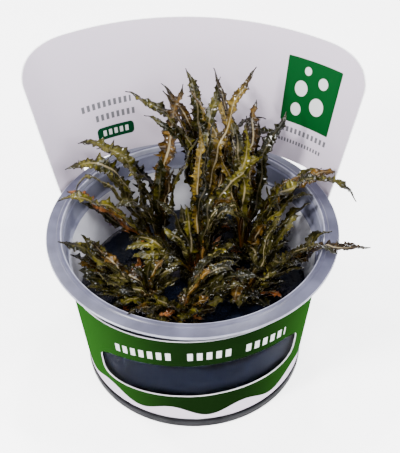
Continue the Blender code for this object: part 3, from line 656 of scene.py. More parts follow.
def rounded(rows, steps=5):
    """A profile through corners, each given by its radius, its height and how far it is rounded."""
    corners = [np.array(row[:2], float) for row in rows]
    profile = [corners[0]]
    for before, corner, after, row in zip(corners, corners[1:], corners[2:], rows[1:]):
        one = unit(before - corner)
        two = unit(after - corner)
        reach = min(row[2], 0.45 * np.linalg.norm(before - corner), 0.45 * np.linalg.norm(after - corner))
        for t in np.linspace(0.0, 1.0, steps):
            profile.append(corner + (1 - t) ** 2 * reach * one + t**2 * reach * two)
    return [*profile, corners[-1]]


def tube_quads(count, around, first=0):
    """Four sided faces between rings of points that follow each other."""
    i = np.arange(count - 1)[:, None] * around
    j = np.arange(around)[None, :]
    k = (j + 1) % around
    quads = np.stack([i + j, i + k, i + around + k, i + around + j], axis=-1).reshape(-1, 4) + first
    return quads.tolist()


def turned(name, profile, steps):
    """A profile of radius and height pairs, from axis to axis, swept round the upright axis."""
    profile = np.array(profile, float)
    inner = profile[1:-1]
    angles = 2.0 * math.pi * np.arange(steps) / steps
    ring = np.stack([np.cos(angles), np.sin(angles)], axis=-1)
    heights = np.broadcast_to(inner[:, None, 1:], (len(inner), steps, 1))
    points = np.concatenate([inner[:, None, :1] * ring[None], heights], axis=-1).reshape(-1, 3)
    points = np.concatenate([points, [[0, 0, profile[0, 1]], [0, 0, profile[-1, 1]]]])
    faces = tube_quads(len(inner), steps)
    middle = len(inner) * steps
    last = middle - steps
    for j in range(steps):
        k = (j + 1) % steps
        faces += [(middle, k, j), (middle + 1, last + j, last + k)]
    return mesh_from(name, points, faces)


def cup_section():
    """The cup's section, from the floor's middle up the inside and down the outside.

    Each row gives a corner's radius, its height and how far it is rounded.
    """
    wall_top = wall_radius(WALL_TOP_Z)
    shoulder = SHOULDER_RADIUS + WALL_THICK
    rim = LIP_RADIUS + RIM_WIDTH
    return (
        (0.0, FLOOR_THICK, 0.0),
        (wall_radius(FLOOR_THICK) - WALL_THICK - 0.1, FLOOR_THICK, 1.2),
        (wall_radius(GEL_TOP) - WALL_THICK, GEL_TOP, 0.2),
        (wall_top - WALL_THICK, WALL_TOP_Z - 0.2, 0.8),
        (SHOULDER_RADIUS - 0.5, WALL_TOP_Z + 0.3, 0.8),
        (SHOULDER_RADIUS, SHOULDER_TOP, 0.8),
        (LIP_RADIUS - 0.1, SHOULDER_TOP + 0.5, 0.5),
        (LIP_RADIUS, RIM_TOP, 0.45),
        (rim - 0.5, RIM_TOP, 0.5),
        (rim - 0.1, RIM_TOP - 0.42, 0.4),
        (FLANGE_RADIUS, FLANGE_EDGE_TOP, 0.3),
        (FLANGE_RADIUS, FLANGE_EDGE_TOP - FLANGE_THICK, 0.3),
        (rim - 0.5, RIM_TOP - 0.35 - FLANGE_THICK, 0.5),
        (LIP_RADIUS + 0.8, SHOULDER_TOP + 0.3, 0.5),
        (shoulder, SHOULDER_TOP - 0.3, 0.8),
        (shoulder - 0.1, LEDGE_TOP + 0.3, 0.8),
        (wall_top, WALL_TOP_Z - 0.1, 0.5),
        (WALL_FOOT_RADIUS, WALL_FOOT_Z, 1.0),
        (WALL_FOOT_RADIUS - 0.1, FOOT_HEIGHT, 0.3),
        (FOOT_RADIUS, FOOT_HEIGHT, 0.4),
        (FOOT_RADIUS, 0.0, 0.5),
        (0.0, 0.0, 0.0),
    )


# The cup's materials in the order in which they are added, and where each begins and ends.
CLOUDY, CLEAR, EDGE_HIGHLIGHT, FOOT, SHOULDER_LIT, INNER_PAINTED_LIGHT = range(6)
CLEAR_FROM = 3.4
CLEAR_TO = 50.2
INNER_PAINTED_LIGHT_FROM = -17.0
EDGE_HIGHLIGHT_WIDTH = 0.5


def cup_face_material(x, y, z):
    """The material of the cup's face whose middle is at a place."""
    radius = math.hypot(x, y)
    if z < CLEAR_FROM:
        return FOOT
    if z < CLEAR_TO:
        # Painted light: the inner wall above the gel, where the card stands behind it, takes a pale colour
        # that stands in for the lit card seen through the wall.
        inner = z > GEL_TOP and radius < wall_radius(z) - WALL_THICK / 2.0
        return INNER_PAINTED_LIGHT if inner and y > INNER_PAINTED_LIGHT_FROM else CLEAR
    # Painted highlight: a thin, much lighter band of the cloudy plastic on the flange's outer edge and along
    # the top of the inner lip.
    if radius > FLANGE_RADIUS - EDGE_HIGHLIGHT_WIDTH or (z > SHOULDER_TOP + 1.0 and radius < LIP_RADIUS + EDGE_HIGHLIGHT_WIDTH):
        return EDGE_HIGHLIGHT
    # Painted light: the inner shoulder gets a lighter copy of the same cloudy plastic.
    return SHOULDER_LIT if radius < LIP_RADIUS else CLOUDY


def make_cup():
    cup = turned("cup_fine", rounded(cup_section()), CUP_STEPS)
    outward(cup, 50.0)
    for made in (
        cloudy_plastic("cup_cloudy", (0.042, 0.042, 0.068), (0.072, 0.073, 0.115)),
        clear_plastic(),
        # The same cloudy plastic made lighter, as a painted highlight.
        cloudy_plastic("cup_edge_painted_highlight", (0.17, 0.172, 0.235), (0.33, 0.335, 0.41)),
        mottled("cup_foot", (0.007, 0.007, 0.0085), (0.016, 0.016, 0.018), 0.35, 0.05, 6.0),
        # The same cloudy plastic made lighter, as painted light on the inner shoulder.
        cloudy_plastic("cup_shoulder_painted_light", (0.1, 0.103, 0.155), (0.17, 0.175, 0.235)),
        inner_wall_painted_light(),
    ):
        cup.data.materials.append(made)
    for face in cup.data.polygons:
        face.material_index = cup_face_material(*(face.center / MM))
    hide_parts("cup")
    return cup


GEL_RINGS = 26
GEL_CLIMB = 1.8
GEL_SWELL = 0.16
GEL_SIDE_DARK = (0.005, 0.0062, 0.011)
GEL_SIDE_PALE = (0.0095, 0.0115, 0.0175)


def make_gel():
    """The gel: a gently uneven top that climbs a little up the wall, above a plain side and foot."""
    top = wall_radius(GEL_TOP + MENISCUS) - WALL_THICK - GAP
    foot_z = FLOOR_THICK + GAP
    foot = wall_radius(FLOOR_THICK + FLOOR_CORNER) - WALL_THICK - GAP
    rings = [(radius, GEL_TOP) for radius in np.linspace(0.0, top - GEL_CLIMB, GEL_RINGS)]
    climb = [(top - GEL_CLIMB + GEL_CLIMB * t, GEL_TOP + MENISCUS * t**2) for t in (0.35, 0.65, 0.88, 1.0)]
    below = [(foot + 0.05, foot_z + 1.0), (foot - 1.2, foot_z), (0.0, foot_z)]
    gel = turned("gel_fine", rings + climb + below, CUP_STEPS // 2)
    for vertex in gel.data.vertices:
        x, y, z = vertex.co / MM
        if GEL_TOP - 0.1 < z < GEL_TOP + 0.01:
            # One slow wave each way, and a quicker one across both.
            swell = math.sin(0.31 * x + 0.8) * math.sin(0.27 * y - 0.4) + 0.5 * math.sin(0.7 * x - 0.5 * y)
            vertex.co.z += MM * GEL_SWELL * swell
    outward(gel, 60.0)
    gel.data.materials.append(gel_material())
    # No air is between the gel's side and the wall, so it has no gloss.
    gel.data.materials.append(mottled("gel_side", GEL_SIDE_DARK, GEL_SIDE_PALE, 0.5, 0.0, 7.0))
    for face in gel.data.polygons:
        face.material_index = int(face.center.z / MM < GEL_TOP - 0.5)
    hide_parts("gel")
    return gel


# Sleeve


def cone_radius(height):
    """The middle of the card's thickness where the sleeve hugs the cup."""
    return SLEEVE_FOOT_RADIUS + SLEEVE_SLOPE * (height - SLEEVE_FOOT_Z)


def back_radius(turn, height):
    """Distance from the cup's axis to the back card's gentle arc, turn degrees from the card's middle."""
    bend = CARD_BEND_RADIUS + CARD_BEND_GROWTH * (height - CARD_BEND_Z)
    centre = CARD_BACK_Y + CARD_LEAN * (height - CARD_BEND_Z) - bend
    angle = np.radians(turn)
    return centre * np.cos(angle) + np.sqrt(bend**2 - (centre * np.sin(angle)) ** 2)


def sleeve_radius(angle, height):
    """The card's middle radius at an angle from the front middle and a height."""
    turn = np.minimum(np.abs(np.asarray(angle, float) - CARD_MIDDLE), CARD_TURN_LIMIT)
    height = np.asarray(height, float)
    fade = 1.0 - smoothstep((turn - CARD_FLARE_START) / (CARD_FLARE_END - CARD_FLARE_START))
    lift = (back_radius(turn, CARD_BEND_Z) - cone_radius(CARD_BEND_Z)) * fade
    rise = np.clip((height - CARD_LIFT_Z) / (CARD_BEND_Z - CARD_LIFT_Z), 0.0, 1.0)
    low = cone_radius(np.minimum(height, CARD_BEND_Z)) + lift * rise
    high = back_radius(turn, np.maximum(height, CARD_BEND_Z)) - back_radius(turn, CARD_BEND_Z)
    return low + high


def front_top(angle):
    """The height of the sleeve's cut edge in front, which sits a little lower at the left."""
    near = np.clip(angle, -FRONT_END_ANGLE, FRONT_END_ANGLE)
    return FRONT_TOP_Z + FRONT_TILT * near - FRONT_DROP * near**2


def sleeve_outline():
    """The whole sleeve laid flat, as angle and height pairs, anticlockwise from the seam's foot."""
    left_edge = CARD_MIDDLE + CARD_HALF_ANGLE
    right_edge = CARD_MIDDLE - CARD_HALF_ANGLE
    half_gap = 0.5 * math.degrees(SEAM_GAP / SLEEVE_FOOT_RADIUS)
    start = SLEEVE_SEAM + half_gap
    end = 360.0 + SLEEVE_SEAM - half_gap
    left_top = float(front_top(-FRONT_END_ANGLE))
    right_top = float(front_top(FRONT_END_ANGLE))
    side_z = CARD_TOP_Z - CARD_CORNER_HEIGHT
    outline = [(start, SLEEVE_FOOT_Z), (end, SLEEVE_FOOT_Z), (end, left_top)]
    outline.append((left_edge + EDGE_CURVE_START, left_top + 0.6))
    outline += [(left_edge + beyond, height) for beyond, height in LEFT_EDGE_CURVE]
    quarter = [math.radians(5.0 * step) for step in range(19)]
    tilt = CARD_TOP_TILT * (CARD_HALF_ANGLE - CARD_CORNER_ANGLE)
    for edge, side, angles in ((left_edge, -1.0, quarter), (right_edge, 1.0, quarter[::-1])):
        for angle in angles:
            inset = side * CARD_CORNER_ANGLE * (1.0 - math.cos(angle))
            outline.append((edge + inset, side_z - side * tilt + CARD_CORNER_HEIGHT * math.sin(angle)))
    outline += [(right_edge - beyond, height) for beyond, height in RIGHT_EDGE_CURVE]
    outline.append((right_edge - EDGE_CURVE_START, right_top + 0.3))
    for angle in range(100, int(start), -4):
        outline.append((float(angle), float(front_top(angle))))
    outline.append((start, left_top))
    return outline


def slot_outline():
    """The long slot that the flange passes through behind, with small corner radii."""
    outline = []
    corners = ((-1, -1, 180.0), (1, -1, 270.0), (1, 1, 0.0), (-1, 1, 90.0))
    middle_z = 0.5 * (SLOT_BOTTOM_Z + SLOT_TOP_Z)
    half_z = 0.5 * (SLOT_TOP_Z - SLOT_BOTTOM_Z)
    for side, level, first in corners:
        for step in range(4):
            turn = math.radians(first + 30.0 * step)
            across = side * (SLOT_HALF_ANGLE - SLOT_CORNER_ANGLE) + SLOT_CORNER_ANGLE * math.cos(turn)
            upright = level * (half_z - SLOT_CORNER_HEIGHT) + SLOT_CORNER_HEIGHT * math.sin(turn)
            outline.append((CARD_MIDDLE + across, middle_z + upright))
    return outline


def window_outline():
    """The bow shaped window in front: a squared oval that drops at its ends."""
    outline = []
    power = 2.0 / WINDOW_SQUARENESS
    for step in range(WINDOW_STEPS):
        angle = 2.0 * math.pi * (step + 0.5) / WINDOW_STEPS
        across = math.copysign(abs(math.cos(angle)) ** power, math.cos(angle))
        upright = math.copysign(abs(math.sin(angle)) ** power, math.sin(angle))
        place = WINDOW_MIDDLE + WINDOW_HALF_ANGLE * across
        bow = WINDOW_TILT * place - WINDOW_DROP * place**2
        outline.append((place, WINDOW_Z + bow + WINDOW_HALF_HEIGHT * upright))
    return outline


def flat_card():
    """The cut card lying flat: x is angle on FLAT_RADIUS, y is height, z is thickness."""
    curve = bpy.data.curves.new("flat_card", "CURVE")
    curve.dimensions = "2D"
    curve.fill_mode = "BOTH"
    curve.extrude = MM * CARD_THICK / 2.0
    for outline in (sleeve_outline(), slot_outline(), window_outline()):
        spline = curve.splines.new("POLY")
        spline.points.add(len(outline) - 1)
        spline.use_cyclic_u = True
        for point, (angle, height) in zip(spline.points, outline):
            point.co = (MM * math.radians(angle) * FLAT_RADIUS, MM * height, 0.0, 1.0)
    flat = link(bpy.data.objects.new("flat_card", curve))
    bpy.context.view_layer.update()
    mesh = bpy.data.meshes.new_from_object(flat.evaluated_get(bpy.context.evaluated_depsgraph_get()))
    bpy.data.objects.remove(flat, do_unlink=True)
    return mesh


def make_sleeve():
    """The flat card, cut into narrow strips and bent round the cup and up behind it."""
    mesh = flat_card()
    work = bmesh.new()
    work.from_mesh(mesh)
    bmesh.ops.remove_doubles(work, verts=work.verts, dist=SAME_PLACE)
    bmesh.ops.dissolve_limit(work, angle_limit=math.radians(0.1), verts=work.verts, edges=work.edges)
    first = SLEEVE_SEAM + STRIP_ANGLE
    count = int(round(360.0 / STRIP_ANGLE)) - 1
    places = [MM * math.radians(first + STRIP_ANGLE * i) * FLAT_RADIUS for i in range(count)]
    cuts = [((place, 0, 0), (1, 0, 0)) for place in places]
    levels = [CARD_LIFT_Z, CARD_BEND_Z]
    for lowest, highest in LEVEL_SPANS:
        levels += list(np.arange(lowest, highest, LEVEL_GAP))
    cuts += [((0, MM * height, 0), (0, 1, 0)) for height in levels]
    for place, normal in cuts:
        everything = work.verts[:] + work.edges[:] + work.faces[:]
        bmesh.ops.bisect_plane(work, geom=everything, dist=0.5 * SAME_PLACE, plane_co=place, plane_no=normal)
    bmesh.ops.triangulate(work, faces=work.faces)
    work.normal_update()
    for face in work.faces:
        # The flat card's top becomes the outside, its underside the inside, and its sides the cut edge.
        face.material_index = 0 if face.normal.z > 0.5 else 1 if face.normal.z < -0.5 else 2
    work.to_mesh(mesh)
    work.free()
    sleeve = link(bpy.data.objects.new("sleeve_printed", mesh))
    angles = []
    heights = []
    for vertex in mesh.vertices:
        flat = vertex.co / MM
        angle = math.degrees(flat.x / FLAT_RADIUS)
        radius = float(sleeve_radius(angle, flat.y)) + flat.z
        turn = math.radians(angle)
        vertex.co = MM * Vector((radius * math.sin(turn), -radius * math.cos(turn), flat.y))
        angles.append(angle)
        heights.append(flat.y)
    add_number(sleeve, "flat_angle", angles)
    add_number(sleeve, "flat_height", heights)
    card_edge = mottled("card_edge", (0.55, 0.55, 0.57), (0.66, 0.66, 0.68), 0.6, 0.2, 3.0)
    for made in (outside_print(), inside_print(), card_edge):
        mesh.materials.append(made)
    mesh.shade_smooth()
    mesh.set_sharp_from_angle(angle=math.radians(40.0))
    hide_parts("sleeve")
    return sleeve


# Crowns


# Lumps on a crown: their height, and the axes and quickness of the two waves that make them.
CROWN_LUMPS = ((0.14, 0, 4.0, 1, 4.5), (0.08, 0, 9.0, 2, 8.0), (0.05, 1, 15.0, 2, 14.0))
CROWN_SKIN = 0.35
CROWN_TAPER = 0.45


def make_crown(number, place, skin, rng):
    """A short knobbly rhizome: a lumpy head above the gel that tapers to a root end in it."""
    head = CROWN_TOP - GEL_TOP + 1.2
    ball = bmesh.new()
    bmesh.ops.create_icosphere(ball, subdivisions=4, radius=1.0)
    shift = rng.uniform(0.0, 6.0, 2 * len(CROWN_LUMPS))
    for vertex in ball.verts:
        x, y, z = vertex.co
        swell = 0.0
        for k, (height, one, quick_one, two, quick_two) in enumerate(CROWN_LUMPS):
            wave = math.sin(quick_one * vertex.co[one] + shift[2 * k])
            swell += height * wave * math.sin(quick_two * vertex.co[two] + shift[2 * k + 1])
        wide = (CROWN_RADIUS - CROWN_SKIN) * (1.0 + swell)
        high = head * (1.0 + 0.6 * swell)
        if z <= 0.0:
            high = CROWN_DEPTH - 1.5
            wide *= 1.0 - CROWN_TAPER * abs(z)
        vertex.co = MM * Vector((place[0] + wide * x, place[1] + wide * y, GEL_TOP - 1.0 + high * z))
    mesh = bpy.data.meshes.new(f"crown_{number}_knob")
    ball.to_mesh(mesh)
    ball.free()
    crown = link(bpy.data.objects.new(f"crown_{number}_knob", mesh))
    mesh.shade_smooth()
    mesh.materials.append(skin)
    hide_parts(f"crown_{number}")
    return crown


# Leaves


def inner_radius(height):
    """The cup's inner radius, on the tapered wall and above its ledge."""
    tapered = wall_radius(height) - WALL_THICK
    return np.where(np.asarray(height) < LEDGE_TOP, tapered, SHOULDER_RADIUS - 0.1)


def base_angles():
    """Where each leaf leaves its crown: evenly spaced round it, in the order of the headings."""
    angles = np.zeros(len(LEAF_ROWS))
    for number in CROWN_PLACES:
        own = [i for i, row in enumerate(LEAF_ROWS) if row[0] == number]
        own.sort(key=lambda i: LEAF_ROWS[i][1] % 360)
        spread = [360.0 * k / len(own) for k in range(len(own))]
        shift = np.mean([LEAF_ROWS[i][1] % 360 - turn for i, turn in zip(own, spread)])
        for i, turn in zip(own, spread):
            angles[i] = shift + turn
    return angles


def tuft_rows():
    """The short leaves' rows, in the long leaves' form, with the number of each blade's crown and place."""
    rows = []
    names = []
    for number in CROWN_PLACES:
        for k in range(TUFT_BLADES):
            if (number, k) in TUFT_LEFT_OUT:
                continue
            heading = 360.0 * k / TUFT_BLADES + TUFT_TURN * number
            reach = TUFT_REACH + TUFT_REACH_SPREAD * math.sin(2.1 * k + 1.3 * number)
            rise = TUFT_RISE + TUFT_RISE_SPREAD * math.cos(1.7 * k + 2.3 * number)
            rows.append((number, heading, reach, rise, TUFT_ARCH, 0.0, 0.0, TUFT_WIDTH, "dark"))
            names.append((number, k))
    return rows, names


def leaf_path(row, base_angle, base_radius=LEAF_BASE_RADIUS, base_z=LEAF_BASE_Z):
    """The leaf's midrib before its neighbours push it: one bowed curve from crown to tip."""
    crown, heading, reach, rise, arch, shoulder, droop = row[:7]
    middle = np.array([*CROWN_PLACES[crown], base_z])
    out = np.radians(base_angle)
    base = middle + base_radius * np.array([math.cos(out), math.sin(out), 0.0])
    aim = math.radians(heading)
    tip = middle + np.array([reach * math.cos(aim), reach * math.sin(aim), rise])
    chord = tip - base
    along = unit(chord)
    side = unit(np.array([-chord[1], chord[0], 0.0]))
    above = np.cross(along, side)
    control = (base + tip) / 2.0 + 2.0 * arch * above + 2.0 * shoulder * along
    t = np.linspace(0.0, 1.0, LEAF_STATIONS)[:, None]
    path = (1 - t) ** 2 * base + 2 * t * (1 - t) * control + t**2 * tip
    path[:, 2] -= droop * np.clip((t[:, 0] - DROOP_START) / (1.0 - DROOP_START), 0.0, 1.0) ** 2
    return path


def half_widths(width):
    """Half the leaf's width along it: a thin stalk, a long blade, and a drawn out tip."""
    s = np.linspace(0.0, 1.0, LEAF_STATIONS)
    stalk = PETIOLE_HALF + (TIP_HALF - PETIOLE_HALF) * s
    swell = smoothstep((s - BLADE_START) / (BLADE_FULL - BLADE_START))
    taper = 1.0 - np.clip((s - BLADE_TAPER) / (BLADE_END - BLADE_TAPER), 0.0, 1.0) ** 1.5
    return np.maximum(stalk, 0.5 * width * swell * taper)


def rolled(across, out, angle):
    """A leaf's two side vectors, turned about its midrib."""
    return across * np.cos(angle) + out * np.sin(angle), out * np.cos(angle) - across * np.sin(angle)


def leaf_frames(paths, turns):
    """Unit vectors across each leaf and out of its face, turned about the midrib."""
    tangents = unit(np.gradient(paths, axis=1))
    chords = paths[:, -1] - paths[:, 0]
    level = unit(np.stack([-chords[:, 1], chords[:, 0], np.zeros(len(chords))], axis=-1))[:, None, :]
    across = unit(level - (level * tangents).sum(-1, keepdims=True) * tangents)
    s = np.linspace(0.0, 1.0, paths.shape[1])[None, :, None]
    return rolled(across, np.cross(tangents, across), np.radians(turns)[:, None, None] * s)


def support(across, out, wide, high, direction):
    """How far a leaf's section reaches from its midrib in a direction."""
    one = wide * (across * direction).sum(-1)
    two = high * (out * direction).sum(-1)
    return np.sqrt(one**2 + two**2)


def push_from_walls(points, reach_level, reach_up):
    """Moves that keep the leaves inside the cup, over its rim, above the gel and in front of the card."""
    move = np.zeros_like(points)
    radius = np.linalg.norm(points[:, :2], axis=1)
    outward = unit(points[:, :2])
    low = GEL_TOP + MENISCUS + GEL_CLEAR + reach_up
    move[:, 2] += np.maximum(low - points[:, 2], 0.0)
    over = RIM_TOP + CLEARANCE + reach_up - points[:, 2]
    inside = radius - (inner_radius(points[:, 2]) - CLEARANCE - reach_level)
    hit = (over > 0.0) & (inside > 0.0)
    lift = hit & ((over < inside) | (radius > LIP_RADIUS))
    move[lift, 2] += over[lift]
    pull = hit & ~lift
    move[pull, :2] -= outward[pull] * inside[pull][:, None]
    angle = np.degrees(np.arctan2(points[:, 0], -points[:, 1])) % 360.0
    card = sleeve_radius(angle, points[:, 2]) - CARD_THICK - CARD_CLEAR - CARD_REACH * reach_level
    near = (np.abs(angle - CARD_MIDDLE) < CARD_HALF_ANGLE + 3.0) & (points[:, 2] > RIM_TOP)
    excess = np.where(near, np.maximum(radius - card, 0.0), 0.0)
    move[:, :2] -= outward * excess[:, None]
    return move


def near_pairs(points, allowed):
    """The allowed pairs of points that are near each other."""
    squares = (points**2).sum(-1)
    gaps = squares[:, None] + squares[None, :] - 2.0 * points @ points.T
    return np.nonzero((gaps < NEAR_DISTANCE**2) & allowed)


def push_apart(points, pairs, across, out, wide, high):
    """Moves that part the pairs of points whose leaves would touch, half for each."""
    first, second = pairs
    apart = points[first] - points[second]
    distance = np.linalg.norm(apart, axis=-1)
    direction = apart / np.maximum(distance, 1e-6)[:, None]
    need = support(across[first], out[first], wide[first], high[first], direction)
    need += support(across[second], out[second], wide[second], high[second], direction)
    push = np.maximum(need + CLEARANCE - distance, 0.0)
    active = push > 0.0
    shift = direction[active] * (0.5 * push[active])[:, None]
    move = np.zeros_like(points)
    hits = np.zeros(len(points))
    for ends, sign in ((first[active], 1.0), (second[active], -1.0)):
        np.add.at(move, ends, sign * shift)
        np.add.at(hits, ends, 1.0)
    return move / np.sqrt(np.maximum(hits, 1.0))[:, None]


def relax(paths, wide, high, turns, still=0):
    """Push leaves that would cross through each other, the cup or the card gently apart.

    The first leaves, as many as still says, stay where they are.
    """
    count, stations = paths.shape[:2]
    owner = np.repeat(np.arange(count), stations)
    allowed = (owner[:, None] < owner[None, :]) & (owner[None, :] >= still)
    s = np.tile(np.linspace(0.0, 1.0, stations), count)
    free = (smoothstep((s - STILL_PART) / FREE_PART) * (owner >= still))[:, None]
    wide = wide.reshape(-1)
    high = high.reshape(-1)
    up = np.array([0.0, 0.0, 1.0])
    for turn_number in range(RELAX_ROUNDS):
        points = paths.reshape(-1, 3)
        if turn_number % REFRESH_ROUNDS == 0:
            pairs = near_pairs(points, allowed)
        across, out = (way.reshape(-1, 3) for way in leaf_frames(paths, turns))
        move = push_apart(points, pairs, across, out, wide, high)
        reach_level = support(across, out, wide, high, unit(points * (1.0 - up)))
        reach_up = support(across, out, wide, high, np.broadcast_to(up, points.shape))
        move += push_from_walls(points, reach_level, reach_up)
        move *= free
        field = move.reshape(count, stations, 3)
        for _ in range(2):
            padded = np.concatenate([field[:, :1], field, field[:, -1:]], axis=1)
            field = 0.25 * padded[:, :-2] + 0.5 * padded[:, 1:-1] + 0.25 * padded[:, 2:]
        paths = paths + RELAX_STEP * field * free.reshape(count, stations, 1)
    return paths


def leaf_layout():
    """Every leaf's midrib path and half widths, pushed apart. The short leaves come last and give way."""
    angles = base_angles()
    short_rows, _ = tuft_rows()
    long_paths = np.array([leaf_path(row, angle) for row, angle in zip(LEAF_ROWS, angles)])
    short_paths = [leaf_path(row, row[1], TUFT_BASE_RADIUS, TUFT_BASE_Z) for row in short_rows]
    halves = np.array([half_widths(row[7]) for row in (*LEAF_ROWS, *short_rows)])
    turns = np.array([TURN * math.sin(TURN_PACE * i + TURN_SHIFT) for i in range(len(halves))])
    wide = (1.0 + TOOTH) * halves + SPARE_WIDTH
    high = FOLD * halves + 0.5 * HALF_THICK + np.where(halves > RIPPLE_FROM, RIPPLE, 0.0) + SPARE_HEIGHT
    count = len(LEAF_ROWS)
    long_paths = relax(long_paths, wide[:count], high[:count], turns[:count])
    paths = relax(np.concatenate([long_paths, short_paths]), wide, high, turns, count)
    return paths, halves, turns


def between(values, old, new):
    """Smooth cubic readings of a table of rows at new places."""
    slope = np.gradient(values, old, axis=0)
    i = np.clip(np.searchsorted(old, new, side="right") - 1, 0, len(old) - 2)
    gap = (old[i + 1] - old[i])[:, None]
    t = ((new - old[i]) / (old[i + 1] - old[i]))[:, None]
    one = (2 * t**3 - 3 * t**2 + 1) * values[i] + (t**3 - 2 * t**2 + t) * gap * slope[i]
    two = (3 * t**2 - 2 * t**3) * values[i + 1] + (t**3 - t**2) * gap * slope[i + 1]
    return one + two


def wobble(arc, rng, pitch):
    """A smooth wave that never repeats, between about -1 and 1."""
    total = np.zeros_like(arc)
    for share, weight in ((1.0, 0.5), (0.61, 0.3), (1.7, 0.35)):
        total += weight * np.sin(2.0 * math.pi * arc / (pitch * share) + rng.uniform(0.0, 2.0 * math.pi))
    return total


def fine_midrib(path, half, across, out, rng, gap):
    """A leaf's line read at many stations, with a fuller tip and a slow wander, twist and change of width."""
    old = np.linspace(0.0, 1.0, len(path))
    length = np.linalg.norm(np.diff(path, axis=0), axis=1).sum()
    t = np.linspace(0.0, 1.0, max(int(length / gap), FEWEST_STATIONS))
    path = between(path, old, t)
    across = unit(between(across, old, t))
    out = unit(between(out, old, t))
    half = np.interp(t, old, half)
    fuller = TIP_FULLNESS * half.max() * (1.0 - np.clip((t - 0.66) / 0.335, 0.0, 1.0) ** 2.1)
    half = np.where(t > 0.5, np.maximum(half, fuller), half)
    arc = np.concatenate([[0.0], np.cumsum(np.linalg.norm(np.diff(path, axis=0), axis=1))])
    blade = np.where(t > 0.5, np.clip((half - 0.2) / 0.7, 0.0, 1.0), np.clip((half - 0.75) / 0.9, 0.0, 1.0))
    ends = smoothstep(t / 0.2) * smoothstep((1.0 - t) / 0.06)
    path = path + (WANDER * ends * wobble(arc, rng, SIDE_WAVE))[:, None] * across
    path = path + (WANDER * ends * wobble(arc, rng, FACE_WAVE))[:, None] * out
    twist = np.radians(EXTRA_TWIST) * (ends * wobble(arc, rng, TWIST_WAVE))[:, None]
    across, out = rolled(across, out, twist)
    half = half * (1.0 + WIDTH_CHANGE * blade * wobble(arc, rng, WIDTH_WAVE))
    return t, path, across, out, half, arc, blade


def leaf_relief(arc, half, blade, columns, rng):
    """How far each point is across the leaf and out of its face, and how much it is on a blister."""
    fold = FOLD * rng.uniform(-0.4, 1.3)
    wide = half[:, None]
    full = blade[:, None]
    signs = np.sign(columns)[None, :]
    reach = np.abs(columns)[None, :]
    lateral = np.zeros((len(arc), len(columns)))
    rise = np.zeros_like(lateral)
    lump = np.zeros_like(lateral)
    step = np.gradient(arc)
    for side in (-1.0, 1.0):
        mine = signs == side
        pitch = TOOTH_PITCH * (1.0 + 0.5 * wobble(arc, rng, PITCH_WAVE)) * rng.uniform(0.8, 1.25)
        phase = (2.0 * math.pi * np.cumsum(step / pitch) + rng.uniform(0.0, 6.3))[:, None]
        size = np.clip(0.5 + 0.95 * wobble(arc, rng, TOOTH_WAVE), 0.0, 1.8)[:, None]
        rough = np.clip(0.55 + 0.9 * wobble(arc, rng, BLISTER_WAVE), 0.0, 1.5)[:, None]
        notch = np.clip(wobble(arc, rng, NOTCH_WAVE) - 0.35, 0.0, 0.6)[:, None]
        peak = (1.0 - np.abs(np.sin(phase / 2.0))) ** 1.5
        tooth = TOOTH_REACH * np.maximum(wide, LEAST_TOOTH_HALF) * size * peak * full
        # The margin waves up and down at about the teeth's pitch, and rolls over in longer stretches.
        curl = np.cos(0.5 * phase + 0.5) * size + 0.9 * wobble(arc, rng, CURL_WAVE)[:, None]
        ruffle = RUFFLE * wide * full * curl * reach**2.2
        puff = smoothstep((reach - 0.2) / 0.35) * (1.0 - 0.6 * smoothstep((reach - 0.75) / 0.25))
        puff = puff * np.cos(phase + 1.6 * reach)
        lateral += mine * signs * (wide * (1.04 - 0.55 * notch) + tooth * reach**2.0) * reach
        rise += mine * (ruffle + BLISTER * rough * wide * full * puff)
        lump += mine * puff * rough * full
    rise += fold * wide * (reach - 0.5)
    for k in range(len(columns)):
        rise[:, k] += CRUMPLE * blade * wobble(arc, rng, CRUMPLE_WAVE) * (0.4 + reach[0, k])
        lateral[:, k] += 0.6 * CRUMPLE * blade * wobble(arc, rng, MARGIN_WAVE) * reach[0, k] ** 2
    return lateral, rise, lump


def both_faces(top, under):
    """Rows across the top of a leaf, each followed by the way back along its underside."""
    return np.concatenate([top, under[:, -2:0:-1]], axis=1)


def leaf_points(path, half, across, out, rng, gap=STATION_GAP, steps=COLUMNS):
    """Rings of points round a fine leaf, with its cross-wise, length-wise and blister readings."""
    t, path, across, out, half, arc, blade = fine_midrib(path, half, across, out, rng, gap)
    columns = np.array([-u for u in steps[:0:-1]] + list(steps))
    lateral, rise, lump = leaf_relief(arc, half, blade, columns, rng)
    full = blade[:, None]
    ridge = np.exp(-((lateral / MIDRIB_WIDTH) ** 2))
    slim = 1.0 - 0.75 * smoothstep((t - 0.3) / 0.7)[:, None]
    thick = BLADE_HALF_THICK + MIDRIB_HALF_THICK * slim * ridge
    stalk = (0.12 + 0.8 * half[:, None]) * np.sqrt(np.clip(1.0 - columns[None, :] ** 2, 0.0, 1.0)) * 0.8
    thick = full * thick + (1.0 - full) * np.maximum(stalk, LEAST_STALK_HALF)
    middle = path[:, None, :] + across[:, None, :] * lateral[..., None]
    out = out[:, None, :]
    rings = both_faces(middle + out * (rise + thick)[..., None], middle + out * (rise - thick)[..., None])
    spread = np.broadcast_to(columns, lateral.shape)
    along = np.broadcast_to(t[:, None], rings.shape[:2])
    return rings, {"across": both_faces(spread, spread), "along": along, "lump": both_faces(lump, lump)}


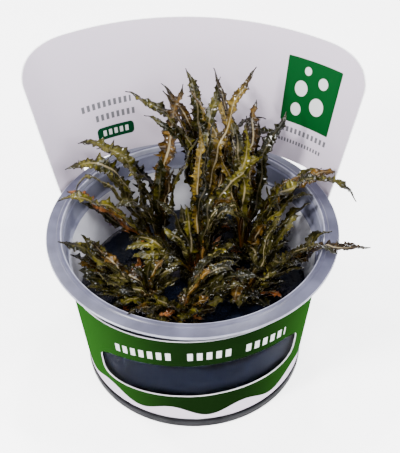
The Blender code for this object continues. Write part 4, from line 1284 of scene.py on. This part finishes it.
def leaf_mesh(name, shapes, skin, rng):
    """One mesh of one or more leaves of one colour kind, each leaf with a tone of its own."""
    points = []
    faces = []
    readings = {"across": [], "along": [], "lump": [], "tone": []}
    first = 0
    for rings, found in shapes:
        count, around = rings.shape[:2]
        points.append(rings.reshape(-1, 3))
        faces += tube_quads(count, around, first)
        last = first + (count - 1) * around
        faces += [[first + around - 1 - n for n in range(around)], [last + n for n in range(around)]]
        for key, values in found.items():
            readings[key].append(values.reshape(-1))
        readings["tone"].append(np.full(count * around, rng.uniform(-1.0, 1.0)))
        first += count * around
    made = mesh_from(name, np.concatenate(points), faces)
    for key, values in readings.items():
        add_number(made, key, np.concatenate(values))
    outward(made)
    made.data.materials.append(skin)
    return made


def make_leaf(number, path, half, across, out, kind, skins, rng):
    half = np.maximum(BLADE_SHARE[kind] * half, np.minimum(half, PETIOLE_HALF))
    shape = leaf_points(path, half, across, out, rng)
    leaf = leaf_mesh(f"leaf_{number:02d}_wet", [shape], skins[kind], rng)
    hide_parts(f"leaf_{number:02d}")
    return leaf


def small_leaf(path, width, most_turn, rng):
    """Rings and readings of one small leaf along a midrib path."""
    across, out = leaf_frames(path[None], np.array([rng.uniform(-most_turn, most_turn)]))
    return leaf_points(path, half_widths(width), across[0], out[0], rng, SMALL_STATION_GAP, SMALL_COLUMNS)


def first_part(path, share):
    """The lower share of a midrib path, at as many stations."""
    return between(path, np.linspace(0.0, 1.0, len(path)), np.linspace(0.0, share, LEAF_STATIONS))


def beside(path, lengths, reach, rng):
    """A midrib path from a solid leaf's stalk, which drifts to one side and ends short of the leaf's tip."""
    near = first_part(path, rng.uniform(*lengths))
    chord = unit(near[-1] - near[0])
    side = unit(np.array([-chord[1], chord[0], 0.0]))
    above = np.cross(chord, side)
    angle = rng.uniform(0.0, 2.0 * math.pi)
    drift = reach * (math.cos(angle) * side + 0.6 * math.sin(angle) * above)
    near = near + (np.linspace(0.0, 1.0, LEAF_STATIONS) ** 1.3)[:, None] * drift
    near[:, 2] = np.maximum(near[:, 2], GEL_TOP + SHADOW_LOWEST)
    return near


def sprig_path(path, place, rng):
    """A midrib path between a crown's young leaves: one of theirs, swung round the crown and shortened."""
    share = rng.uniform(*SPRIG_LENGTH)
    swing = math.radians(rng.uniform(-SPRIG_SWING, SPRIG_SWING))
    near = first_part(path, share)
    x = near[:, 0] - place[0]
    y = near[:, 1] - place[1]
    near[:, 0] = place[0] + x * math.cos(swing) - y * math.sin(swing)
    near[:, 1] = place[1] + x * math.sin(swing) + y * math.cos(swing)
    near[:, 2] += rng.uniform(*SPRIG_LIFT) * np.linspace(0.0, 1.0, LEAF_STATIONS) ** 0.8
    near[:, 2] = np.maximum(near[:, 2], GEL_TOP + SPRIG_LOWEST)
    return near


def small_leaf_shapes(paths, rng):
    """Small leaves by place and colour: young ones round each crown and slim ones beside the long leaves."""
    shapes = {(place, kind): [] for place in ("back", "front") for kind in LEAF_COLOURS}
    places = {crown: "front" if crown in FRONT_CROWNS else "back" for crown in CROWN_PLACES}
    for path, (crown, k) in zip(paths[len(LEAF_ROWS):], tuft_rows()[1]):
        kinds = FRONT_KINDS if crown == FRONT_CROWN else YOUNG_KINDS
        kind = kinds[(crown + 2 * k) % len(kinds)]
        shapes[places[crown], kind].append(small_leaf(path, TUFT_WIDTH, TUFT_MOST_TURN, rng))
        for _ in range(SPRIG_LEAVES[crown]):
            kind = kinds[rng.integers(len(kinds))]
            bent = sprig_path(path, CROWN_PLACES[crown], rng)
            shape = small_leaf(bent, rng.uniform(*SPRIG_WIDTH), SPRIG_MOST_TURN, rng)
            shapes[places[crown], kind].append(shape)
    for row, path in zip(LEAF_ROWS, paths):
        crown, rise = row[0], row[3]
        kinds, number, lengths, drift = SHADOW_KINDS, SHADOW_LEAVES[crown], SHADOW_LENGTH, SHADOW_DRIFT
        if rise > TOP_RISE:
            kinds, number, lengths, drift = TOP_KINDS, TOP_SHADOWS, TOP_SHADOW_LENGTH, TOP_DRIFT
        elif rise > TALL_RISE:
            lengths = TALL_SHADOW_LENGTH
        for _ in range(number):
            kind = kinds[rng.integers(len(kinds))]
            bent = beside(path, lengths, drift, rng)
            shape = small_leaf(bent, rng.uniform(*SHADOW_WIDTH), SHADOW_MOST_TURN, rng)
            shapes[places[crown], kind].append(shape)
    return shapes


def make_small_leaves(skins, paths, rng):
    """The small leaves, joined to one mesh for each place and colour."""
    pieces = []
    for (place, kind), found in small_leaf_shapes(paths, rng).items():
        if found:
            made = leaf_mesh(f"small_leaves_{place}_{kind}", found, skins[kind], rng)
            pieces.append(made)
    return pieces


def make_leaves():
    skins = {kind: leaf_material(kind, *colours) for kind, colours in LEAF_COLOURS.items()}
    paths, halves, turns = leaf_layout()
    across, out = leaf_frames(paths, turns)
    made = []
    for i, row in enumerate(LEAF_ROWS):
        rng = np.random.default_rng(SEED + i)
        made.append(make_leaf(i + 1, paths[i], halves[i], across[i], out[i], row[8], skins, rng))
    return made + make_small_leaves(skins, paths, np.random.default_rng(SMALL_LEAF_SEED))


# Stage

CAMERA_TARGET = (2.545, 59.568)
CAMERA_DISTANCE = 380.0
CAMERA_ELEVATION = 42.98
CAMERA_ROLL = -0.55
CAMERA_LENS = 88.46
SENSOR = 36.0
FLOOR_SIZE = 6.0
FLOOR_GLOW = 2.4
WORLD_COLOUR = (0.97, 0.98, 1.0, 1.0)
WORLD_STRENGTH = 1.1
LIGHT_AIM = (0.0, 0.0, 0.05)
# Each lamp's place and size in metres, its power and its colour.
LAMPS = {
    "key": ((-0.55, -0.45, 0.6), 0.18, 16.0, (1.0, 0.98, 0.96)),
    "fill": ((0.6, -0.45, 0.5), 0.5, 10.0, (0.97, 0.98, 1.0)),
}
SPARKLE_PLACES = (
    (0.12, 0.3, 0.8), (-0.35, 0.1, 0.8), (0.38, -0.05, 0.75), (-0.02, -0.45, 0.78), (-0.5, 0.35, 0.55)
)
LAMPS.update({f"sparkle_{i}": (place, 0.09, 3.6, (1.0, 1.0, 1.0)) for i, place in enumerate(SPARKLE_PLACES)})


def make_camera():
    """The camera looks along +Y and down, and leans by a small roll, as in the photograph."""
    rise = math.radians(CAMERA_ELEVATION)
    back = Vector((0.0, -math.cos(rise), math.sin(rise)))
    place = Vector((CAMERA_TARGET[0], 0.0, CAMERA_TARGET[1])) + CAMERA_DISTANCE * back
    right = Vector((1.0, 0.0, 0.0))
    up = right.cross(-back)
    roll = math.radians(CAMERA_ROLL)
    side = right * math.cos(roll) + up * math.sin(roll)
    over = -right * math.sin(roll) + up * math.cos(roll)
    data = bpy.data.cameras.new("camera")
    data.sensor_width = SENSOR
    data.lens = CAMERA_LENS
    data.clip_start = 0.01
    camera = link(bpy.data.objects.new("camera", data))
    camera.matrix_world = Matrix.Translation(MM * place) @ Matrix((side, over, back)).transposed().to_4x4()
    bpy.context.scene.camera = camera


def make_stage():
    """A plain pale floor under even light, with soft lamps above for the wet highlights."""
    bpy.ops.mesh.primitive_plane_add(size=FLOOR_SIZE, location=(0.0, 0.0, 0.0))
    floor = bpy.context.object
    floor.name = "floor"
    glow = {"Emission_Strength": FLOOR_GLOW, "Emission_Color": (1.0, 1.0, 1.0)}
    skin = Skin("floor_pale", (0.9, 0.9, 0.905), 0.9, **glow)
    skin.set("Base Color", skin.mix(skin.noise(60.0), (0.89, 0.89, 0.895), (0.91, 0.91, 0.915)))
    floor.data.materials.append(skin.made)
    world = bpy.data.worlds.new("studio")
    world.use_nodes = True
    sky = world.node_tree.nodes["Background"].inputs
    sky["Color"].default_value = WORLD_COLOUR
    sky["Strength"].default_value = WORLD_STRENGTH
    bpy.context.scene.world = world
    for name, (place, size, power, colour) in LAMPS.items():
        data = bpy.data.lights.new(name, "AREA")
        data.shape = "DISK"
        data.size = size
        data.energy = power
        data.color = colour
        lamp = link(bpy.data.objects.new(name, data))
        lamp.location = place
        lamp.rotation_euler = (Vector(LIGHT_AIM) - Vector(place)).to_track_quat("-Z", "Y").to_euler()


def main():
    made = [make_cup(), make_gel(), make_sleeve()]
    damp = crown_material("crown_damp", (0.005, 0.003, 0.001), (0.04, 0.014, 0.003), (0.15, 0.055, 0.016))
    bare = crown_material("crown_orange", (0.05, 0.014, 0.003), (0.2, 0.058, 0.008), (0.42, 0.16, 0.035))
    for number, place in CROWN_PLACES.items():
        skin = bare if number == FRONT_CROWN else damp
        made.append(make_crown(number, place, skin, np.random.default_rng(SEED - number)))
    made += make_leaves()
    for piece in made:
        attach(piece, BODY)
    make_stage()
    make_camera()


main()
